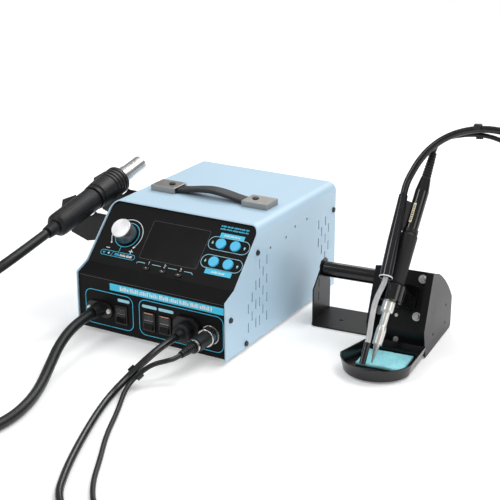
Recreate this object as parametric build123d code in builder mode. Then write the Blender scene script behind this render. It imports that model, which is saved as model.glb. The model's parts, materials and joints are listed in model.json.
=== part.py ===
from build123d import *
from math import atan2, cos, degrees, pi, radians, sqrt, tan
import os

os.makedirs("parts", exist_ok=True)

# A bench soldering iron station: a sheet-steel control unit with a hot-air gun in a cradle on its
# left wall, and a separate iron stand at its right. Millimetres, +Z up, the bench at z = 0. Each
# group is drawn in a frame of its own and placed by one of the locations below.

# Control unit: x = 0 in its middle, y = 0 at the lower front edge of its side walls.
WIDTH, DEPTH, HEIGHT = 187, 250, 130
FOOT = 4                # height of the rubber feet
SHEET = 1.2             # steel sheet
BEND = 10               # outside radius of the cover's top bends
LIP_Z = 68.5            # top of the upright lower front
SHELF_Y, SHELF_Z = 19, 76   # where the short shelf meets the sloping display face
SETBACK = 2             # the front panel stands this far inside the walls' edge
PANEL = 2               # front panel thickness
GAP = 0.3               # play around a moving piece
INNER = WIDTH / 2 - SHEET

# Iron stand: x = 0 at the outer face of its right plate, y = 0 at that plate's lower front corner.
STAND_TURN = 5

UNIT_SHIFT = (-50, -118.6, 0)      # puts the origin under the middle of the whole station
UNIT = Location(UNIT_SHIFT)
STAND = Location((UNIT_SHIFT[0] + 263.9, UNIT_SHIFT[1] + 119.4, 0), (0, 0, STAND_TURN))


def save(piece, label, place=UNIT):
    """Put a finished piece in its place and write it."""
    part = place * piece.part
    part.label = label
    export_step(part, f"parts/{label}.step")


def front_path(inset):
    """The front's bends as (y, z), that far inside the side walls' edge: bottom, lip, crease, top."""
    lean = atan2(SHELF_Z - LIP_Z, SHELF_Y)
    lip = LIP_Z - inset / cos(lean)
    rise = SHELF_Z - SHELF_Y
    crease = (lip - rise + inset * sqrt(2)) / (1 - tan(lean))
    top = HEIGHT - SHEET - GAP
    return [
        (inset, FOOT + SHEET + GAP),
        (inset, lip + inset * tan(lean)),
        (crease, crease + rise - inset * sqrt(2)),
        (top - rise + inset * sqrt(2), top),
    ]


# The two faces of the front panel. FACE: x across and y up the 45 degree slope, from the crease.
crease_y, crease_z = front_path(SETBACK)[2]
FACE = Plane(origin=(0, crease_y, crease_z), x_dir=(1, 0, 0), z_dir=(0, -1, 1))
LOWER = Plane(origin=(0, SETBACK, 0), x_dir=(1, 0, 0), z_dir=(0, -1, 0))
FACE_OUT, LOWER_OUT = Axis(FACE.origin, FACE.z_dir), Axis(LOWER.origin, LOWER.z_dir)
REAR_Y = DEPTH - 1 - SHEET
REAR = Plane(origin=(0, REAR_Y + SHEET, 0), x_dir=(-1, 0, 0), z_dir=(0, 1, 0))
RIGHT = Plane(origin=(WIDTH / 2, 0, 0), x_dir=(0, 1, 0), z_dir=(1, 0, 0))
LEFT = Plane(origin=(-WIDTH / 2, 0, 0), x_dir=(0, -1, 0), z_dir=(-1, 0, 0))

# Features of the display face (x, height up the slope) and of the lower face (x, z).
KNOB_AT = (-58, 38)
WINDOW_AT, WINDOW = (3.4, 38), (71.4, 45)
TEMP_BUTTONS = [(56.3, 48.8), (73.7, 48.8), (56.3, 27.4), (73.7, 27.4)]
TEMP_R = 5.8
CHANNEL_BUTTONS = [(-18, 4.8), (2, 4.8), (22.3, 4.8)]
CHANNEL = (8, 3.8)
ROCKERS = {"hot_air_rocker": -36.5, "iron_rocker": -1, "fume_rocker": 19}
ROCKER_Z = 28
GLAND_AT = (-64.6, 30)
GLAND_SCREWS = 12.5
FUME_AT = (46.5, 29.5)
IRON_AT = (75, 30)
BOARD_DEPTH = 12        # from the display face back to the control board
SWITCH_TOP = 5.5        # from the display face back to the button switches' stems

# Side wall features (y, z).
COVER_SCREWS = [(65.8, 102.4), (10.2, 46.6), (41.7, 8.5), (244, 98.6)]
CRADLE_SCREWS = [(94, 99), (129, 100)]
SPARE_HOLES = [(149.8, 105.9), (177.3, 106.6)]
VENT = (11.3, 1.7)
VENT_PITCH = 21.4


def vents():
    """The vent slots' centres (y, z): columns in step or half a pitch out, front block and rear block."""
    columns = [(46.8, 24.3, 2), (54.7, 35.0, 2), (62.6, 24.3, 3), (70.3, 24.3, 4), (77.9, 35.0, 3),
               (86.2, 24.3, 4), (207, 69.5, 2), (215, 58.9, 2), (224, 26.7, 4), (232, 37.4, 3)]
    return [(y, z + VENT_PITCH * i) for y, z, count in columns for i in range(count)]


# ---------------------------------------------------------------- control unit: casing

def inner_outline(half, low, high, radius):
    """A rectangle with rounded top corners in the active sketch, x across and z up."""
    with BuildSketch(mode=Mode.PRIVATE) as outline:
        with Locations((0, (low + high) / 2)):
            Rectangle(2 * half, high - low)
        fillet(outline.vertices().group_by(Axis.Y)[-1], radius)
    add(outline.sketch)


with BuildPart() as cover:
    with BuildSketch(Plane.YZ.offset(-WIDTH / 2)):
        with BuildLine():
            slope_top = HEIGHT - SHELF_Z + SHELF_Y
            Polyline((0, FOOT), (0, LIP_Z), (SHELF_Y, SHELF_Z), (slope_top, HEIGHT), (DEPTH, HEIGHT),
                     (DEPTH, FOOT), close=True)
        make_face()
    extrude(amount=WIDTH)
    fillet(cover.edges().filter_by(Axis.Y).group_by(Axis.Z)[-1], BEND)
    with BuildSketch(Plane.XZ.offset(-DEPTH - BEND)):
        inner_outline(INNER, -BEND, HEIGHT - SHEET, BEND - SHEET)
    extrude(amount=DEPTH + 2 * BEND, mode=Mode.SUBTRACT)
    with BuildSketch(RIGHT.offset(BEND)):
        with Locations(*vents()):
            SlotOverall(*VENT, rotation=90)
        with Locations(*COVER_SCREWS, *CRADLE_SCREWS, *SPARE_HOLES):
            Circle(1.6)
    extrude(amount=-WIDTH - 2 * BEND, mode=Mode.SUBTRACT)
    with BuildSketch(Plane.XY.offset(HEIGHT)):
        with Locations((-54, 131.5), (54, 131.5)):
            Circle(2.05)
    extrude(amount=-SHEET, mode=Mode.SUBTRACT)
save(cover, "cover")

# Mains inlet and its place on the rear wall (x as seen from behind, z).
INLET_AT, INLET = (-45, 40), (27.4, 19.8)
RADIATOR_AT, RADIATOR = (35, 70), (40, 2.4)

with BuildPart() as chassis:
    with BuildSketch(Plane.XY.offset(FOOT)):
        with Locations((0, (SETBACK + REAR_Y) / 2 + 1)):
            Rectangle(2 * (INNER - 0.2), REAR_Y - SETBACK - 2)
    extrude(amount=SHEET)
    for side in (-1, 1):
        with BuildSketch(Plane.XY.offset(FOOT)):
            with Locations((side * (INNER - 0.2 - SHEET / 2), (SETBACK + REAR_Y) / 2 + 4)):
                Rectangle(SHEET, REAR_Y - SETBACK - 12)
        extrude(amount=14)
    with BuildSketch(REAR):
        inner_outline(INNER - 0.2, FOOT, HEIGHT - SHEET - 0.2, BEND - SHEET)
        with Locations(INLET_AT):
            RectangleRounded(*INLET, 2, mode=Mode.SUBTRACT)
        with Locations(RADIATOR_AT):
            with GridLocations(0, 7, 1, 7):
                SlotOverall(*RADIATOR, mode=Mode.SUBTRACT)
    extrude(amount=-SHEET)
    with BuildSketch(RIGHT):
        with Locations(COVER_SCREWS[2]):
            Circle(1.6)
    extrude(amount=-WIDTH, mode=Mode.SUBTRACT)
save(chassis, "chassis")

with BuildPart() as front_panel:
    with BuildSketch(Plane.YZ.offset(-INNER + 0.2)):
        with BuildLine():
            Polyline(*front_path(SETBACK), *reversed(front_path(SETBACK + PANEL)), close=True)
        make_face()
    extrude(amount=2 * (INNER - 0.2))
    with BuildSketch(Plane.XZ):
        inner_outline(INNER - 0.2, 0, HEIGHT - SHEET - 0.2, BEND - SHEET)
    extrude(amount=-SETBACK - WIDTH, mode=Mode.INTERSECT)
    with BuildSketch(FACE):
        with Locations(KNOB_AT):
            Circle(5)
        with Locations(WINDOW_AT):
            RectangleRounded(WINDOW[0] + 0.2, WINDOW[1] + 0.2, 2)
        with Locations(*TEMP_BUTTONS):
            Circle(TEMP_R + GAP)
        with Locations(*CHANNEL_BUTTONS):
            SlotOverall(CHANNEL[0] + 2 * GAP, CHANNEL[1] + 2 * GAP)
    extrude(amount=-3 * PANEL, mode=Mode.SUBTRACT)
    with BuildSketch(LOWER):
        with Locations(*((x, ROCKER_Z) for x in ROCKERS.values())):
            Rectangle(13.2, 19.4)
        with Locations(GLAND_AT):
            Circle(7)
        with Locations(FUME_AT):
            Circle(8)
        with Locations(IRON_AT):
            Circle(7.9)
        with Locations((GLAND_AT[0] - GLAND_SCREWS, GLAND_AT[1]), (GLAND_AT[0] + GLAND_SCREWS, GLAND_AT[1])):
            Circle(1.6)
    extrude(amount=-3 * PANEL, mode=Mode.SUBTRACT)
save(front_panel, "front_panel")

# ---------------------------------------------------------------- display, knob and buttons

with BuildPart() as display_window:
    with BuildSketch(FACE):
        with Locations(WINDOW_AT):
            RectangleRounded(*WINDOW, 2)
    extrude(amount=-PANEL + 0.2)
save(display_window, "display_window")

with BuildPart() as control_board:
    with BuildSketch(FACE.offset(-BOARD_DEPTH)):
        with Locations((0, 36)):
            Rectangle(170, 68)
    extrude(amount=-1.6)
    with BuildSketch(FACE.offset(-BOARD_DEPTH)):
        with Locations(WINDOW_AT):
            Rectangle(68, 41)
    extrude(amount=BOARD_DEPTH - 3.5)
    with BuildSketch(FACE.offset(-BOARD_DEPTH)):
        with Locations(*TEMP_BUTTONS, *CHANNEL_BUTTONS):
            Rectangle(6, 6)
    extrude(amount=3.5)
    with BuildSketch(FACE.offset(-BOARD_DEPTH)):
        with Locations(*TEMP_BUTTONS, *CHANNEL_BUTTONS):
            Circle(1.7)
    extrude(amount=BOARD_DEPTH - SWITCH_TOP)
    # The airflow potentiometer: its case, and the bushing that its shaft turns in.
    with BuildSketch(FACE.offset(-BOARD_DEPTH)):
        with Locations(KNOB_AT):
            Circle(8)
    extrude(amount=7)
    with BuildSketch(FACE.offset(-BOARD_DEPTH)):
        with Locations(KNOB_AT):
            Circle(4.7)
    extrude(amount=BOARD_DEPTH + 0.4)
    with BuildSketch(FACE.offset(-BOARD_DEPTH + 1)):
        with Locations(KNOB_AT):
            Circle(3.05)
    extrude(amount=BOARD_DEPTH, mode=Mode.SUBTRACT)
save(control_board, "control_board")

KNOB_R, KNOB_HIGH = 11.5, 17

with BuildPart() as knob_shaft:
    with BuildSketch(FACE.offset(-BOARD_DEPTH + 1.2)):
        with Locations(KNOB_AT):
            Circle(3)
    extrude(amount=BOARD_DEPTH + 8.8)
save(knob_shaft, "knob_shaft")

KNOB = UNIT * Plane(FACE.from_local_coords(Vector(*KNOB_AT)), x_dir=(1, 0, 0), z_dir=FACE.z_dir).location

with BuildPart() as airflow_knob:
    with BuildSketch(Plane.XZ):
        with BuildLine():
            Polyline((3, 0.8), (KNOB_R, 0.8), (KNOB_R - 0.3, KNOB_HIGH - 0.5), (KNOB_R - 0.8, KNOB_HIGH),
                     (0, KNOB_HIGH), (0, 10.4), (3, 10.4), close=True)
        make_face()
    revolve(axis=Axis.Z)
    with Locations((0, 8, KNOB_HIGH)):
        Cylinder(0.9, 1, mode=Mode.SUBTRACT)
save(airflow_knob, "airflow_knob", KNOB)

for number, centre in enumerate(TEMP_BUTTONS, 1):
    with BuildPart() as button:
        with BuildSketch(FACE.offset(-3.2)):
            with Locations(centre):
                Circle(TEMP_R)
        extrude(amount=3.2 + 2.2)
        fillet(button.faces().sort_by(FACE_OUT)[-1].edges(), 0.8)
        with BuildSketch(FACE.offset(-4.4)):
            with Locations(centre):
                Circle(TEMP_R + 1.2)
        extrude(amount=1.2)
    save(button, f"temp_button_{number}")

for number, centre in enumerate(CHANNEL_BUTTONS, 1):
    with BuildPart() as button:
        with BuildSketch(FACE.offset(-3.2)):
            with Locations(centre):
                SlotOverall(*CHANNEL)
        extrude(amount=3.2 + 1.4)
        fillet(button.faces().sort_by(FACE_OUT)[-1].edges(), 0.5)
        with BuildSketch(FACE.offset(-4.4)):
            with Locations(centre):
                RectangleRounded(CHANNEL[0] + 2, CHANNEL[1] + 1.6, 1)
        extrude(amount=1.2)
    save(button, f"channel_button_{number}")

# ---------------------------------------------------------------- rocker switches

ROCKER_TILT = 8
PIVOT_BACK = 0.2       # the rocker's pivot lies this far behind the panel's front
WELL = (11.6, 17.8, 8)  # the hole that a rocker moves in


def rocker_plane(x):
    """The side view of one rocker: local x forwards, local y up, z along the pivot (towards -x)."""
    return Plane(origin=(x, SETBACK + PIVOT_BACK, ROCKER_Z), x_dir=(0, -1, 0), z_dir=(-1, 0, 0))


with BuildPart() as rocker_housings:
    for x in ROCKERS.values():
        with BuildSketch(LOWER):
            with Locations((x, ROCKER_Z)):
                RectangleRounded(15, 21, 1)
        extrude(amount=1.6)
        with BuildSketch(LOWER):
            with Locations((x, ROCKER_Z)):
                Rectangle(12.9, 19.1)
        extrude(amount=-16)
        with BuildSketch(LOWER.offset(1.6)):
            with Locations((x, ROCKER_Z)):
                Rectangle(WELL[0], WELL[1])
        extrude(amount=-WELL[2], mode=Mode.SUBTRACT)
        with BuildSketch(rocker_plane(x)):
            Circle(1.05)
        extrude(amount=WELL[0] / 2 + 0.55, both=True, mode=Mode.SUBTRACT)
        with BuildSketch(LOWER.offset(-16)):
            with Locations((x, ROCKER_Z)):
                with GridLocations(0, 6, 1, 3):
                    Rectangle(4.8, 0.8)
        extrude(amount=-7)
save(rocker_housings, "rocker_housings")

for name, x in ROCKERS.items():
    with BuildPart() as rocker:
        with BuildSketch(rocker_plane(x).offset(-WELL[0] / 2 + GAP)):
            with BuildLine():
                Polyline((3.2, 8.0), (1.7, 0), (3.2, -8.0), (-1.5, -8.1), (-4.5, -4), (-4.5, 4), (-1.5, 8.1),
                         close=True)
            make_face()
            Circle(2.6)
        extrude(amount=WELL[0] - 2 * GAP)
        with BuildSketch(rocker_plane(x)):
            Circle(1)
        extrude(amount=WELL[0] / 2 + 0.4, both=True)
        pivot = Axis((x, SETBACK + PIVOT_BACK, ROCKER_Z), (1, 0, 0))
    rocker.part = rocker.part.rotate(pivot, -ROCKER_TILT)
    save(rocker, name)

# ---------------------------------------------------------------- front connectors

GLAND_END = 16          # the gland's nose stands this far off the panel
HOSE_R = 5.5

with BuildPart() as hose_gland:
    with BuildSketch(LOWER):
        with Locations(GLAND_AT):
            SlotOverall(34, 17)
            with Locations((-GLAND_SCREWS, 0), (GLAND_SCREWS, 0)):
                Circle(1.7, mode=Mode.SUBTRACT)
    extrude(amount=2.5)
    with BuildSketch(LOWER):
        with Locations(GLAND_AT):
            Circle(6.9)
    extrude(amount=-8)
    with BuildSketch(LOWER.offset(2.5)):
        with Locations(GLAND_AT):
            Circle(8.3)
    extrude(amount=GLAND_END - 2.5, taper=5)
    with BuildSketch(LOWER.offset(GLAND_END)):
        with Locations(GLAND_AT):
            Circle(HOSE_R)
    extrude(amount=-GLAND_END - 4, mode=Mode.SUBTRACT)
save(hose_gland, "hose_gland")

with BuildPart() as fume_socket:
    with BuildSketch(LOWER) as base:
        with Locations(FUME_AT):
            Rectangle(31, 29)
        chamfer(base.vertices(), 6)
    extrude(amount=4)
    with BuildSketch(LOWER):
        with Locations(FUME_AT):
            Circle(7.9)
    extrude(amount=-12)
    with BuildSketch(LOWER.offset(4)):
        with Locations(FUME_AT):
            Circle(6.05)
    extrude(amount=-14, mode=Mode.SUBTRACT)
save(fume_socket, "fume_socket")

FUME_R = 3.75           # suction hose
FUME_PLUG_R = 10.4

with BuildPart() as fume_plug:
    with BuildSketch(LOWER.offset(-4)):
        with Locations(FUME_AT):
            Circle(6)
    extrude(amount=8)
    with BuildSketch(LOWER.offset(4)):
        with Locations(FUME_AT):
            Circle(FUME_PLUG_R)
    extrude(amount=11)
    fillet(fume_plug.faces().sort_by(LOWER_OUT)[-1].edges(), 3)
    with BuildSketch(LOWER.offset(15)):
        with Locations(FUME_AT):
            Circle(6)
    extrude(amount=8, taper=8)
save(fume_plug, "fume_plug")

with BuildPart() as iron_socket:
    with BuildSketch(LOWER):
        with Locations(IRON_AT):
            Circle(10.4)
    extrude(amount=1.4)
    with BuildSketch(LOWER):
        with Locations(IRON_AT):
            Circle(7.8)
    extrude(amount=-12)
    with BuildSketch(LOWER):
        with Locations(IRON_AT):
            Circle(7.6)
    extrude(amount=5)
    with BuildSketch(LOWER.offset(5)):
        with Locations(IRON_AT):
            Circle(6.1)
    extrude(amount=-12, mode=Mode.SUBTRACT)
save(iron_socket, "iron_socket")

CABLE_R = 2.5
PLUG_END = 57           # the iron plug's boot ends this far off the panel

with BuildPart() as iron_plug:
    with BuildSketch(Plane(origin=(IRON_AT[0], SETBACK, IRON_AT[1]), x_dir=(0, -1, 0), z_dir=(1, 0, 0))):
        with BuildLine():
            Polyline((-5, 0), (-5, 6), (8, 6), (8, 7.2), (12, 7.2), (12, 8), (31, 8), (31, 7), (36, 7),
                     (36, 5.2), (PLUG_END, 3.6), (PLUG_END, 0), close=True)
        make_face()
    revolve(axis=Axis((IRON_AT[0], 0, IRON_AT[1]), (0, 1, 0)))
    for i in range(6):
        with BuildSketch(LOWER.offset(38.5 + 3 * i)):
            with Locations(IRON_AT):
                Circle(7)
                Circle(3.2, mode=Mode.SUBTRACT)
        extrude(amount=1.2, mode=Mode.SUBTRACT)
save(iron_plug, "iron_plug")

with BuildPart() as plug_ring:
    with BuildSketch(LOWER.offset(1.8)):
        with Locations(IRON_AT):
            Circle(9.75)
    extrude(amount=9.8)
    fillet(plug_ring.edges().filter_by(GeomType.CIRCLE), 0.8)
    with BuildSketch(LOWER.offset(1.8)):
        with Locations(IRON_AT):
            Circle(7.9)
    extrude(amount=6, mode=Mode.SUBTRACT)
    with BuildSketch(LOWER.offset(1.8)):
        with Locations(IRON_AT):
            Circle(7.25)
    extrude(amount=12, mode=Mode.SUBTRACT)
save(plug_ring, "plug_ring")

# ---------------------------------------------------------------- top handle

HANDLE_Y, CAP = 131.5, (31.5, 25, 7)
CAP_X, HANDLE_SCREW_X = 59, 54
STRAP_WIDE, STRAP_END = 17, 63

with BuildPart() as handle_caps:
    for side in (-1, 1):
        with Locations((side * CAP_X, HANDLE_Y, HEIGHT)):
            Box(*CAP, align=(Align.CENTER, Align.CENTER, Align.MIN))
    chamfer(handle_caps.faces().sort_by(Axis.Z)[-2:].edges(), 0.6)
    for side in (-1, 1):
        with Locations((side * (CAP_X - CAP[0] / 2 + 11), HANDLE_Y, HEIGHT)):
            Box(22, STRAP_WIDE + 0.6, 5.8, align=(Align.CENTER, Align.CENTER, Align.MIN),
                mode=Mode.SUBTRACT)
        with Locations((side * HANDLE_SCREW_X, HANDLE_Y, HEIGHT)):
            Cylinder(2.2, 20, mode=Mode.SUBTRACT)
save(handle_caps, "handle_caps")

with BuildPart() as handle_strap:
    with BuildSketch(Plane.XZ.offset(-HANDLE_Y - STRAP_WIDE / 2)):
        with BuildLine():
            Spline((-STRAP_END, 135), (-46, 135.2), (0, 140.6), (46, 135.2), (STRAP_END, 135),
                   tangents=((1, 0), (1, 0)))
            Line((STRAP_END, 135), (STRAP_END, 130.6))
            Spline((STRAP_END, 130.6), (46, 130.8), (0, 136.2), (-46, 130.8), (-STRAP_END, 130.6),
                   tangents=((-1, 0), (-1, 0)))
            Line((-STRAP_END, 130.6), (-STRAP_END, 135))
        make_face()
    extrude(amount=STRAP_WIDE)
    with Locations((-HANDLE_SCREW_X, HANDLE_Y, HEIGHT), (HANDLE_SCREW_X, HANDLE_Y, HEIGHT)):
        Cylinder(2.2, 20, mode=Mode.SUBTRACT)
save(handle_strap, "handle_strap")

# ---------------------------------------------------------------- rear and inside

with BuildPart() as mains_inlet:
    with BuildSketch(REAR):
        with Locations(INLET_AT):
            RectangleRounded(50, 30, 3)
    extrude(amount=2.2)
    with BuildSketch(REAR):
        with Locations(INLET_AT):
            RectangleRounded(INLET[0] - 0.3, INLET[1] - 0.3, 2)
    extrude(amount=-20)
    with BuildSketch(REAR.offset(2.2)):
        with Locations(INLET_AT):
            RectangleRounded(24.4, 16.6, 2)
    extrude(amount=-18, mode=Mode.SUBTRACT)
    with BuildSketch(REAR.offset(-16)):
        with Locations(INLET_AT):
            with Locations((-7, -2), (0, 2), (7, -2)):
                Rectangle(2, 4)
    extrude(amount=10)
save(mains_inlet, "mains_inlet")

FLOOR = FOOT + SHEET
TRANSFORMER_AT = (48, 175)

with BuildPart() as transformer:
    with Locations((*TRANSFORMER_AT, FLOOR)):
        Box(66, 78, 2, align=(Align.CENTER, Align.CENTER, Align.MIN))
        Box(66, 34, 56, align=(Align.CENTER, Align.CENTER, Align.MIN))
    with BuildSketch(Plane.XY.offset(FLOOR + 11)):
        with Locations(TRANSFORMER_AT):
            RectangleRounded(42, 54, 6)
    extrude(amount=34)
save(transformer, "transformer")

with BuildPart() as air_pumps:
    for x, y in ((-50, 110), (-50, 190)):
        with Locations((x, y, FLOOR)):
            Box(52, 44, 40, align=(Align.CENTER, Align.CENTER, Align.MIN))
        with Locations(Location((x + 37, y, FLOOR + 20), (0, 90, 0))):
            Cylinder(16, 22)
        with Locations((x - 10, y, FLOOR + 40)):
            Cylinder(4, 12, align=(Align.CENTER, Align.CENTER, Align.MIN))
save(air_pumps, "air_pumps")

# ---------------------------------------------------------------- hot-air gun and its cradle

GUN_TILT = 10.8
GUN_X = -135
GUN_TAIL = (GUN_X, 19.4, 105.3)
GUN = UNIT * Location(GUN_TAIL) * Location((0, 0, 0), (GUN_TILT - 90, 0, 0))  # local z: to the nozzle
GRIP_LONG, COLLAR_END, GUN_LONG = 72, 122, 167
TAIL_LONG = 14


def gun_height(y):
    """Height of the gun's axis at that y."""
    return GUN_TAIL[2] + (y - GUN_TAIL[1]) * tan(radians(GUN_TILT))


def turned(points, place, label):
    """A piece revolved about local z from (radius, z) points, saved in its place and given back."""
    with BuildPart() as piece:
        with BuildSketch(Plane.XZ):
            with BuildLine():
                Polyline(*points, close=True)
            make_face()
        revolve(axis=Axis.Z)
    save(piece, label, place)
    return piece.part


turned([(HOSE_R, 0), (HOSE_R, -TAIL_LONG), (6.6, -TAIL_LONG), (8, -2), (8, 0), (8, 4), (HOSE_R, 4)], GUN,
       "gun_tail")

with BuildPart() as gun_grip:
    with BuildSketch(Plane.XZ):
        with BuildLine():
            Polyline((8, 0), (10, 0), (13, 4), (13.5, 8), (13.5, GRIP_LONG - 4), (12.4, GRIP_LONG),
                     (11.2, GRIP_LONG), (11.2, 10), (8, 6), close=True)
        make_face()
    revolve(axis=Axis.Z)
    ribs, rib_deep = 24, 0.5
    for i in range(ribs):
        with Locations(Location((0, 0, 0), (0, 0, 360 * i / ribs))):
            with Locations((13.5 + 0.3, 0, 42)):
                Box(2 * rib_deep, 0.9, 46, mode=Mode.SUBTRACT)
save(gun_grip, "gun_grip", GUN)

collar_points = [(11.2, GRIP_LONG), (14.2, GRIP_LONG), (14.6, 75), (13.4, 76), (13.4, 78), (15, 79), (16.2, 96)]
for i in range(4):
    z = 99 + 5.2 * i
    collar_points += [(16.3, z), (15.3, z + 0.6), (15.3, z + 1.8), (16.4, z + 2.4)]
collar_points += [(16.5, COLLAR_END - 1), (15.8, COLLAR_END), (9.9, COLLAR_END), (9.9, 116), (12.5, 114),
                  (11.2, 78)]
turned(collar_points, GUN, "gun_collar")

NOZZLE_R = 9
turned([(8.2, 117), (9.8, 117), (9.8, 138), (NOZZLE_R, 139), (NOZZLE_R, GUN_LONG), (8.2, GUN_LONG)], GUN,
       "gun_nozzle")

with BuildPart() as gun_heater:
    with Locations((0, 0, 12)):
        Cylinder(4.6, 84, align=(Align.CENTER, Align.CENTER, Align.MIN))
    with Locations((0, 0, 96)):
        Cylinder(7.4, 52, align=(Align.CENTER, Align.CENTER, Align.MIN))
    with Locations((0, 0, 96)):
        with PolarLocations(4.6, 6):
            Cylinder(1.2, 60, align=(Align.CENTER, Align.CENTER, Align.MIN), mode=Mode.SUBTRACT)
save(gun_heater, "gun_heater", GUN)

CRADLE = 2             # cradle sheet
CRADLE_FRONT, CRADLE_BACK = 76, 136.4


def cradle_plate(y, half_gap, base_z):
    """The outline of one upright of the cradle at that y, with its U notch open upwards."""
    axis_z = gun_height(y + CRADLE / 2)
    with BuildSketch(Plane.XZ.offset(-y - CRADLE), mode=Mode.PRIVATE) as upright:
        with BuildLine():
            Polyline((-WIDTH / 2 - GAP, base_z + 10), (GUN_X, base_z), (GUN_X - 22, base_z + 7),
                     (GUN_X - 35, base_z + 35), (GUN_X - 33, base_z + 44), (GUN_X - half_gap, axis_z + 8),
                     (GUN_X + half_gap, axis_z - 9), (-WIDTH / 2 - GAP, axis_z - 9), close=True)
        make_face()
        with Locations((GUN_X, axis_z)):
            Circle(half_gap, mode=Mode.SUBTRACT)
        with Locations((GUN_X, axis_z + 20)):
            Rectangle(2 * half_gap, 40, mode=Mode.SUBTRACT)
    return upright.sketch


with BuildPart() as gun_cradle:
    extrude(cradle_plate(CRADLE_FRONT, 14.6, 72), amount=CRADLE)
    extrude(cradle_plate(CRADLE_BACK, 17.6, 82), amount=CRADLE)
    with BuildSketch(LEFT.offset(GAP)):
        with Locations((-(CRADLE_FRONT + CRADLE_BACK + CRADLE) / 2, 99)):
            Rectangle(CRADLE_BACK - CRADLE_FRONT + CRADLE, 30)
        with Locations(*((-y, z) for y, z in CRADLE_SCREWS)):
            Circle(1.7, mode=Mode.SUBTRACT)
    extrude(amount=CRADLE)
save(gun_cradle, "gun_cradle")

# ---------------------------------------------------------------- iron stand

PLATE = 1.5
STAND_W = 63            # over both plates
SIDE = [(0, 0), (-9, 32), (15.5, 88), (36, 81), (91, 36), (91, 2), (88, 0)]
# The sloping face (x across, y up it) with its screws: three large, one small, and one on the toe below.
STAND_FACE = Plane(origin=(0, 5, 28), x_dir=(1, 0, 0), z_dir=(0, -55, 25))
TOE_FACE = Plane(origin=(0, 3, 0), x_dir=(1, 0, 0), z_dir=(0, -1, 0))
FACE_SCREWS = [(-14.6, 52.7), (-14.6, 13), (-55.5, 13.3)]
SMALL_SCREW, TOE_SCREW = (-36.2, 11.2), (-33.8, 14)


def stand_side():
    """The side plates' outline (y, z): straight front, and a long curve down to the back."""
    with BuildLine(mode=Mode.PRIVATE) as edge:
        Polyline(SIDE[0], SIDE[1], SIDE[2], SIDE[3])
        ThreePointArc(SIDE[3], (66, 61), SIDE[4])
        Polyline(SIDE[4], SIDE[5], SIDE[6], SIDE[0])
    make_face(edge.edges())


with BuildPart() as stand_body:
    for x in (-PLATE, -STAND_W):
        with BuildSketch(Plane.YZ.offset(x)):
            stand_side()
            with Locations((68.4, 33.9), (68.1, 13.6), (23.8, 17.4)):
                Circle(1.6, mode=Mode.SUBTRACT)
            if x == -STAND_W:
                with Locations((64, 55)):
                    Circle(4.05, mode=Mode.SUBTRACT)
        extrude(amount=PLATE)
    # Flanges along the plates' front edges, folded inwards.
    for x in (-PLATE - 6, -STAND_W + PLATE):
        with BuildSketch(Plane.YZ.offset(x)):
            with BuildLine():
                Polyline((-9, 32), (15.5, 88), (17.2, 87.4), (-7.2, 31.6), close=True)
            make_face()
        extrude(amount=6)
    # The recessed sloping face, the toe under it and the floor between the plates.
    with BuildSketch(Plane.YZ.offset(-STAND_W + PLATE)):
        with BuildLine():
            Polyline((3, 0), (3, 24), (5, 28), (30, 83), (31.6, 82.4), (6.4, 27), (4.5, 23.5), (4.5, 1.5),
                     (86, 1.5), (86, 0), close=True)
        make_face()
    extrude(amount=STAND_W - 2 * PLATE)
    with BuildSketch(STAND_FACE):
        with Locations(*FACE_SCREWS):
            Circle(1.6)
        with Locations(SMALL_SCREW):
            Circle(1.3)
        with BuildLine(mode=Mode.PRIVATE) as slot_line:
            ThreePointArc((-52, 50), (-47, 41), (-45, 30))
        SlotArc(slot_line.edge(), 3)
    extrude(amount=-3, mode=Mode.SUBTRACT)
    with BuildSketch(TOE_FACE):
        with Locations(TOE_SCREW):
            Circle(1.6)
    extrude(amount=-3, mode=Mode.SUBTRACT)
save(stand_body, "stand_body", STAND)

# The iron's own frame: z up its axis from the tip, x across the stand, y to the back.
TIP = (-38, -60, 13)
IRON_UP = Vector(13, 113, 163).normalized()
IRON_PLANE = Plane(origin=TIP, x_dir=Vector(1, 0, 0) - IRON_UP * IRON_UP.X, z_dir=IRON_UP)
IRON = STAND * IRON_PLANE.location
IRON_LONG = 199
RELIEF_END = 228

turned([(0, 0), (0.6, 0), (3.1, 17), (3.1, 36), (1.75, 36), (1.75, 20), (0, 20)], IRON, "soldering_tip")
turned([(3.2, 19), (5, 19), (5.3, 34), (4.6, 38), (4, 39), (4, 57), (5, 57), (5, 59), (3.2, 59)], IRON,
       "tip_barrel")
turned([(0, 21), (1.7, 21), (1.7, 84), (0, 84)], IRON, "heater_element")
turned([(4.05, 53), (6.2, 53), (6.6, 55), (6.6, 64), (6.2, 66), (5.3, 66), (5.3, 59.2), (5.05, 59), (5.05, 56.9),
        (4.05, 56.9)], IRON, "iron_nut")

HANDLE_R, GRIP_R, GRIP_FROM, GRIP_TO = 7.3, 9.5, 84, 139

turned([(3.2, 59.2), (5.2, 59.2), (5.2, 66.2), (7, 66.2), (7, 68), (HANDLE_R, 70), (HANDLE_R, 185), (5.4, IRON_LONG),
        (CABLE_R + 0.6, IRON_LONG), (CABLE_R + 0.6, 190), (5.6, 186), (5.6, 90), (3.2, 86)], IRON,
       "iron_handle")
turned([(HANDLE_R, GRIP_FROM), (GRIP_R - 0.4, GRIP_FROM), (GRIP_R, GRIP_FROM + 2), (GRIP_R - 0.3, GRIP_TO - 3),
        (HANDLE_R + 0.5, GRIP_TO), (HANDLE_R, GRIP_TO)], IRON, "iron_grip")

relief = [(0, IRON_LONG), (5, IRON_LONG)]
for i in range(9):
    z = IRON_LONG + 2 + 3 * i
    r = 4.9 - 0.13 * i
    relief += [(r, z), (r - 1, z + 0.2), (r - 1, z + 1.2), (r, z + 1.4)]
relief += [(3.6, RELIEF_END), (0, RELIEF_END)]
turned(relief, IRON, "iron_relief")

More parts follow.
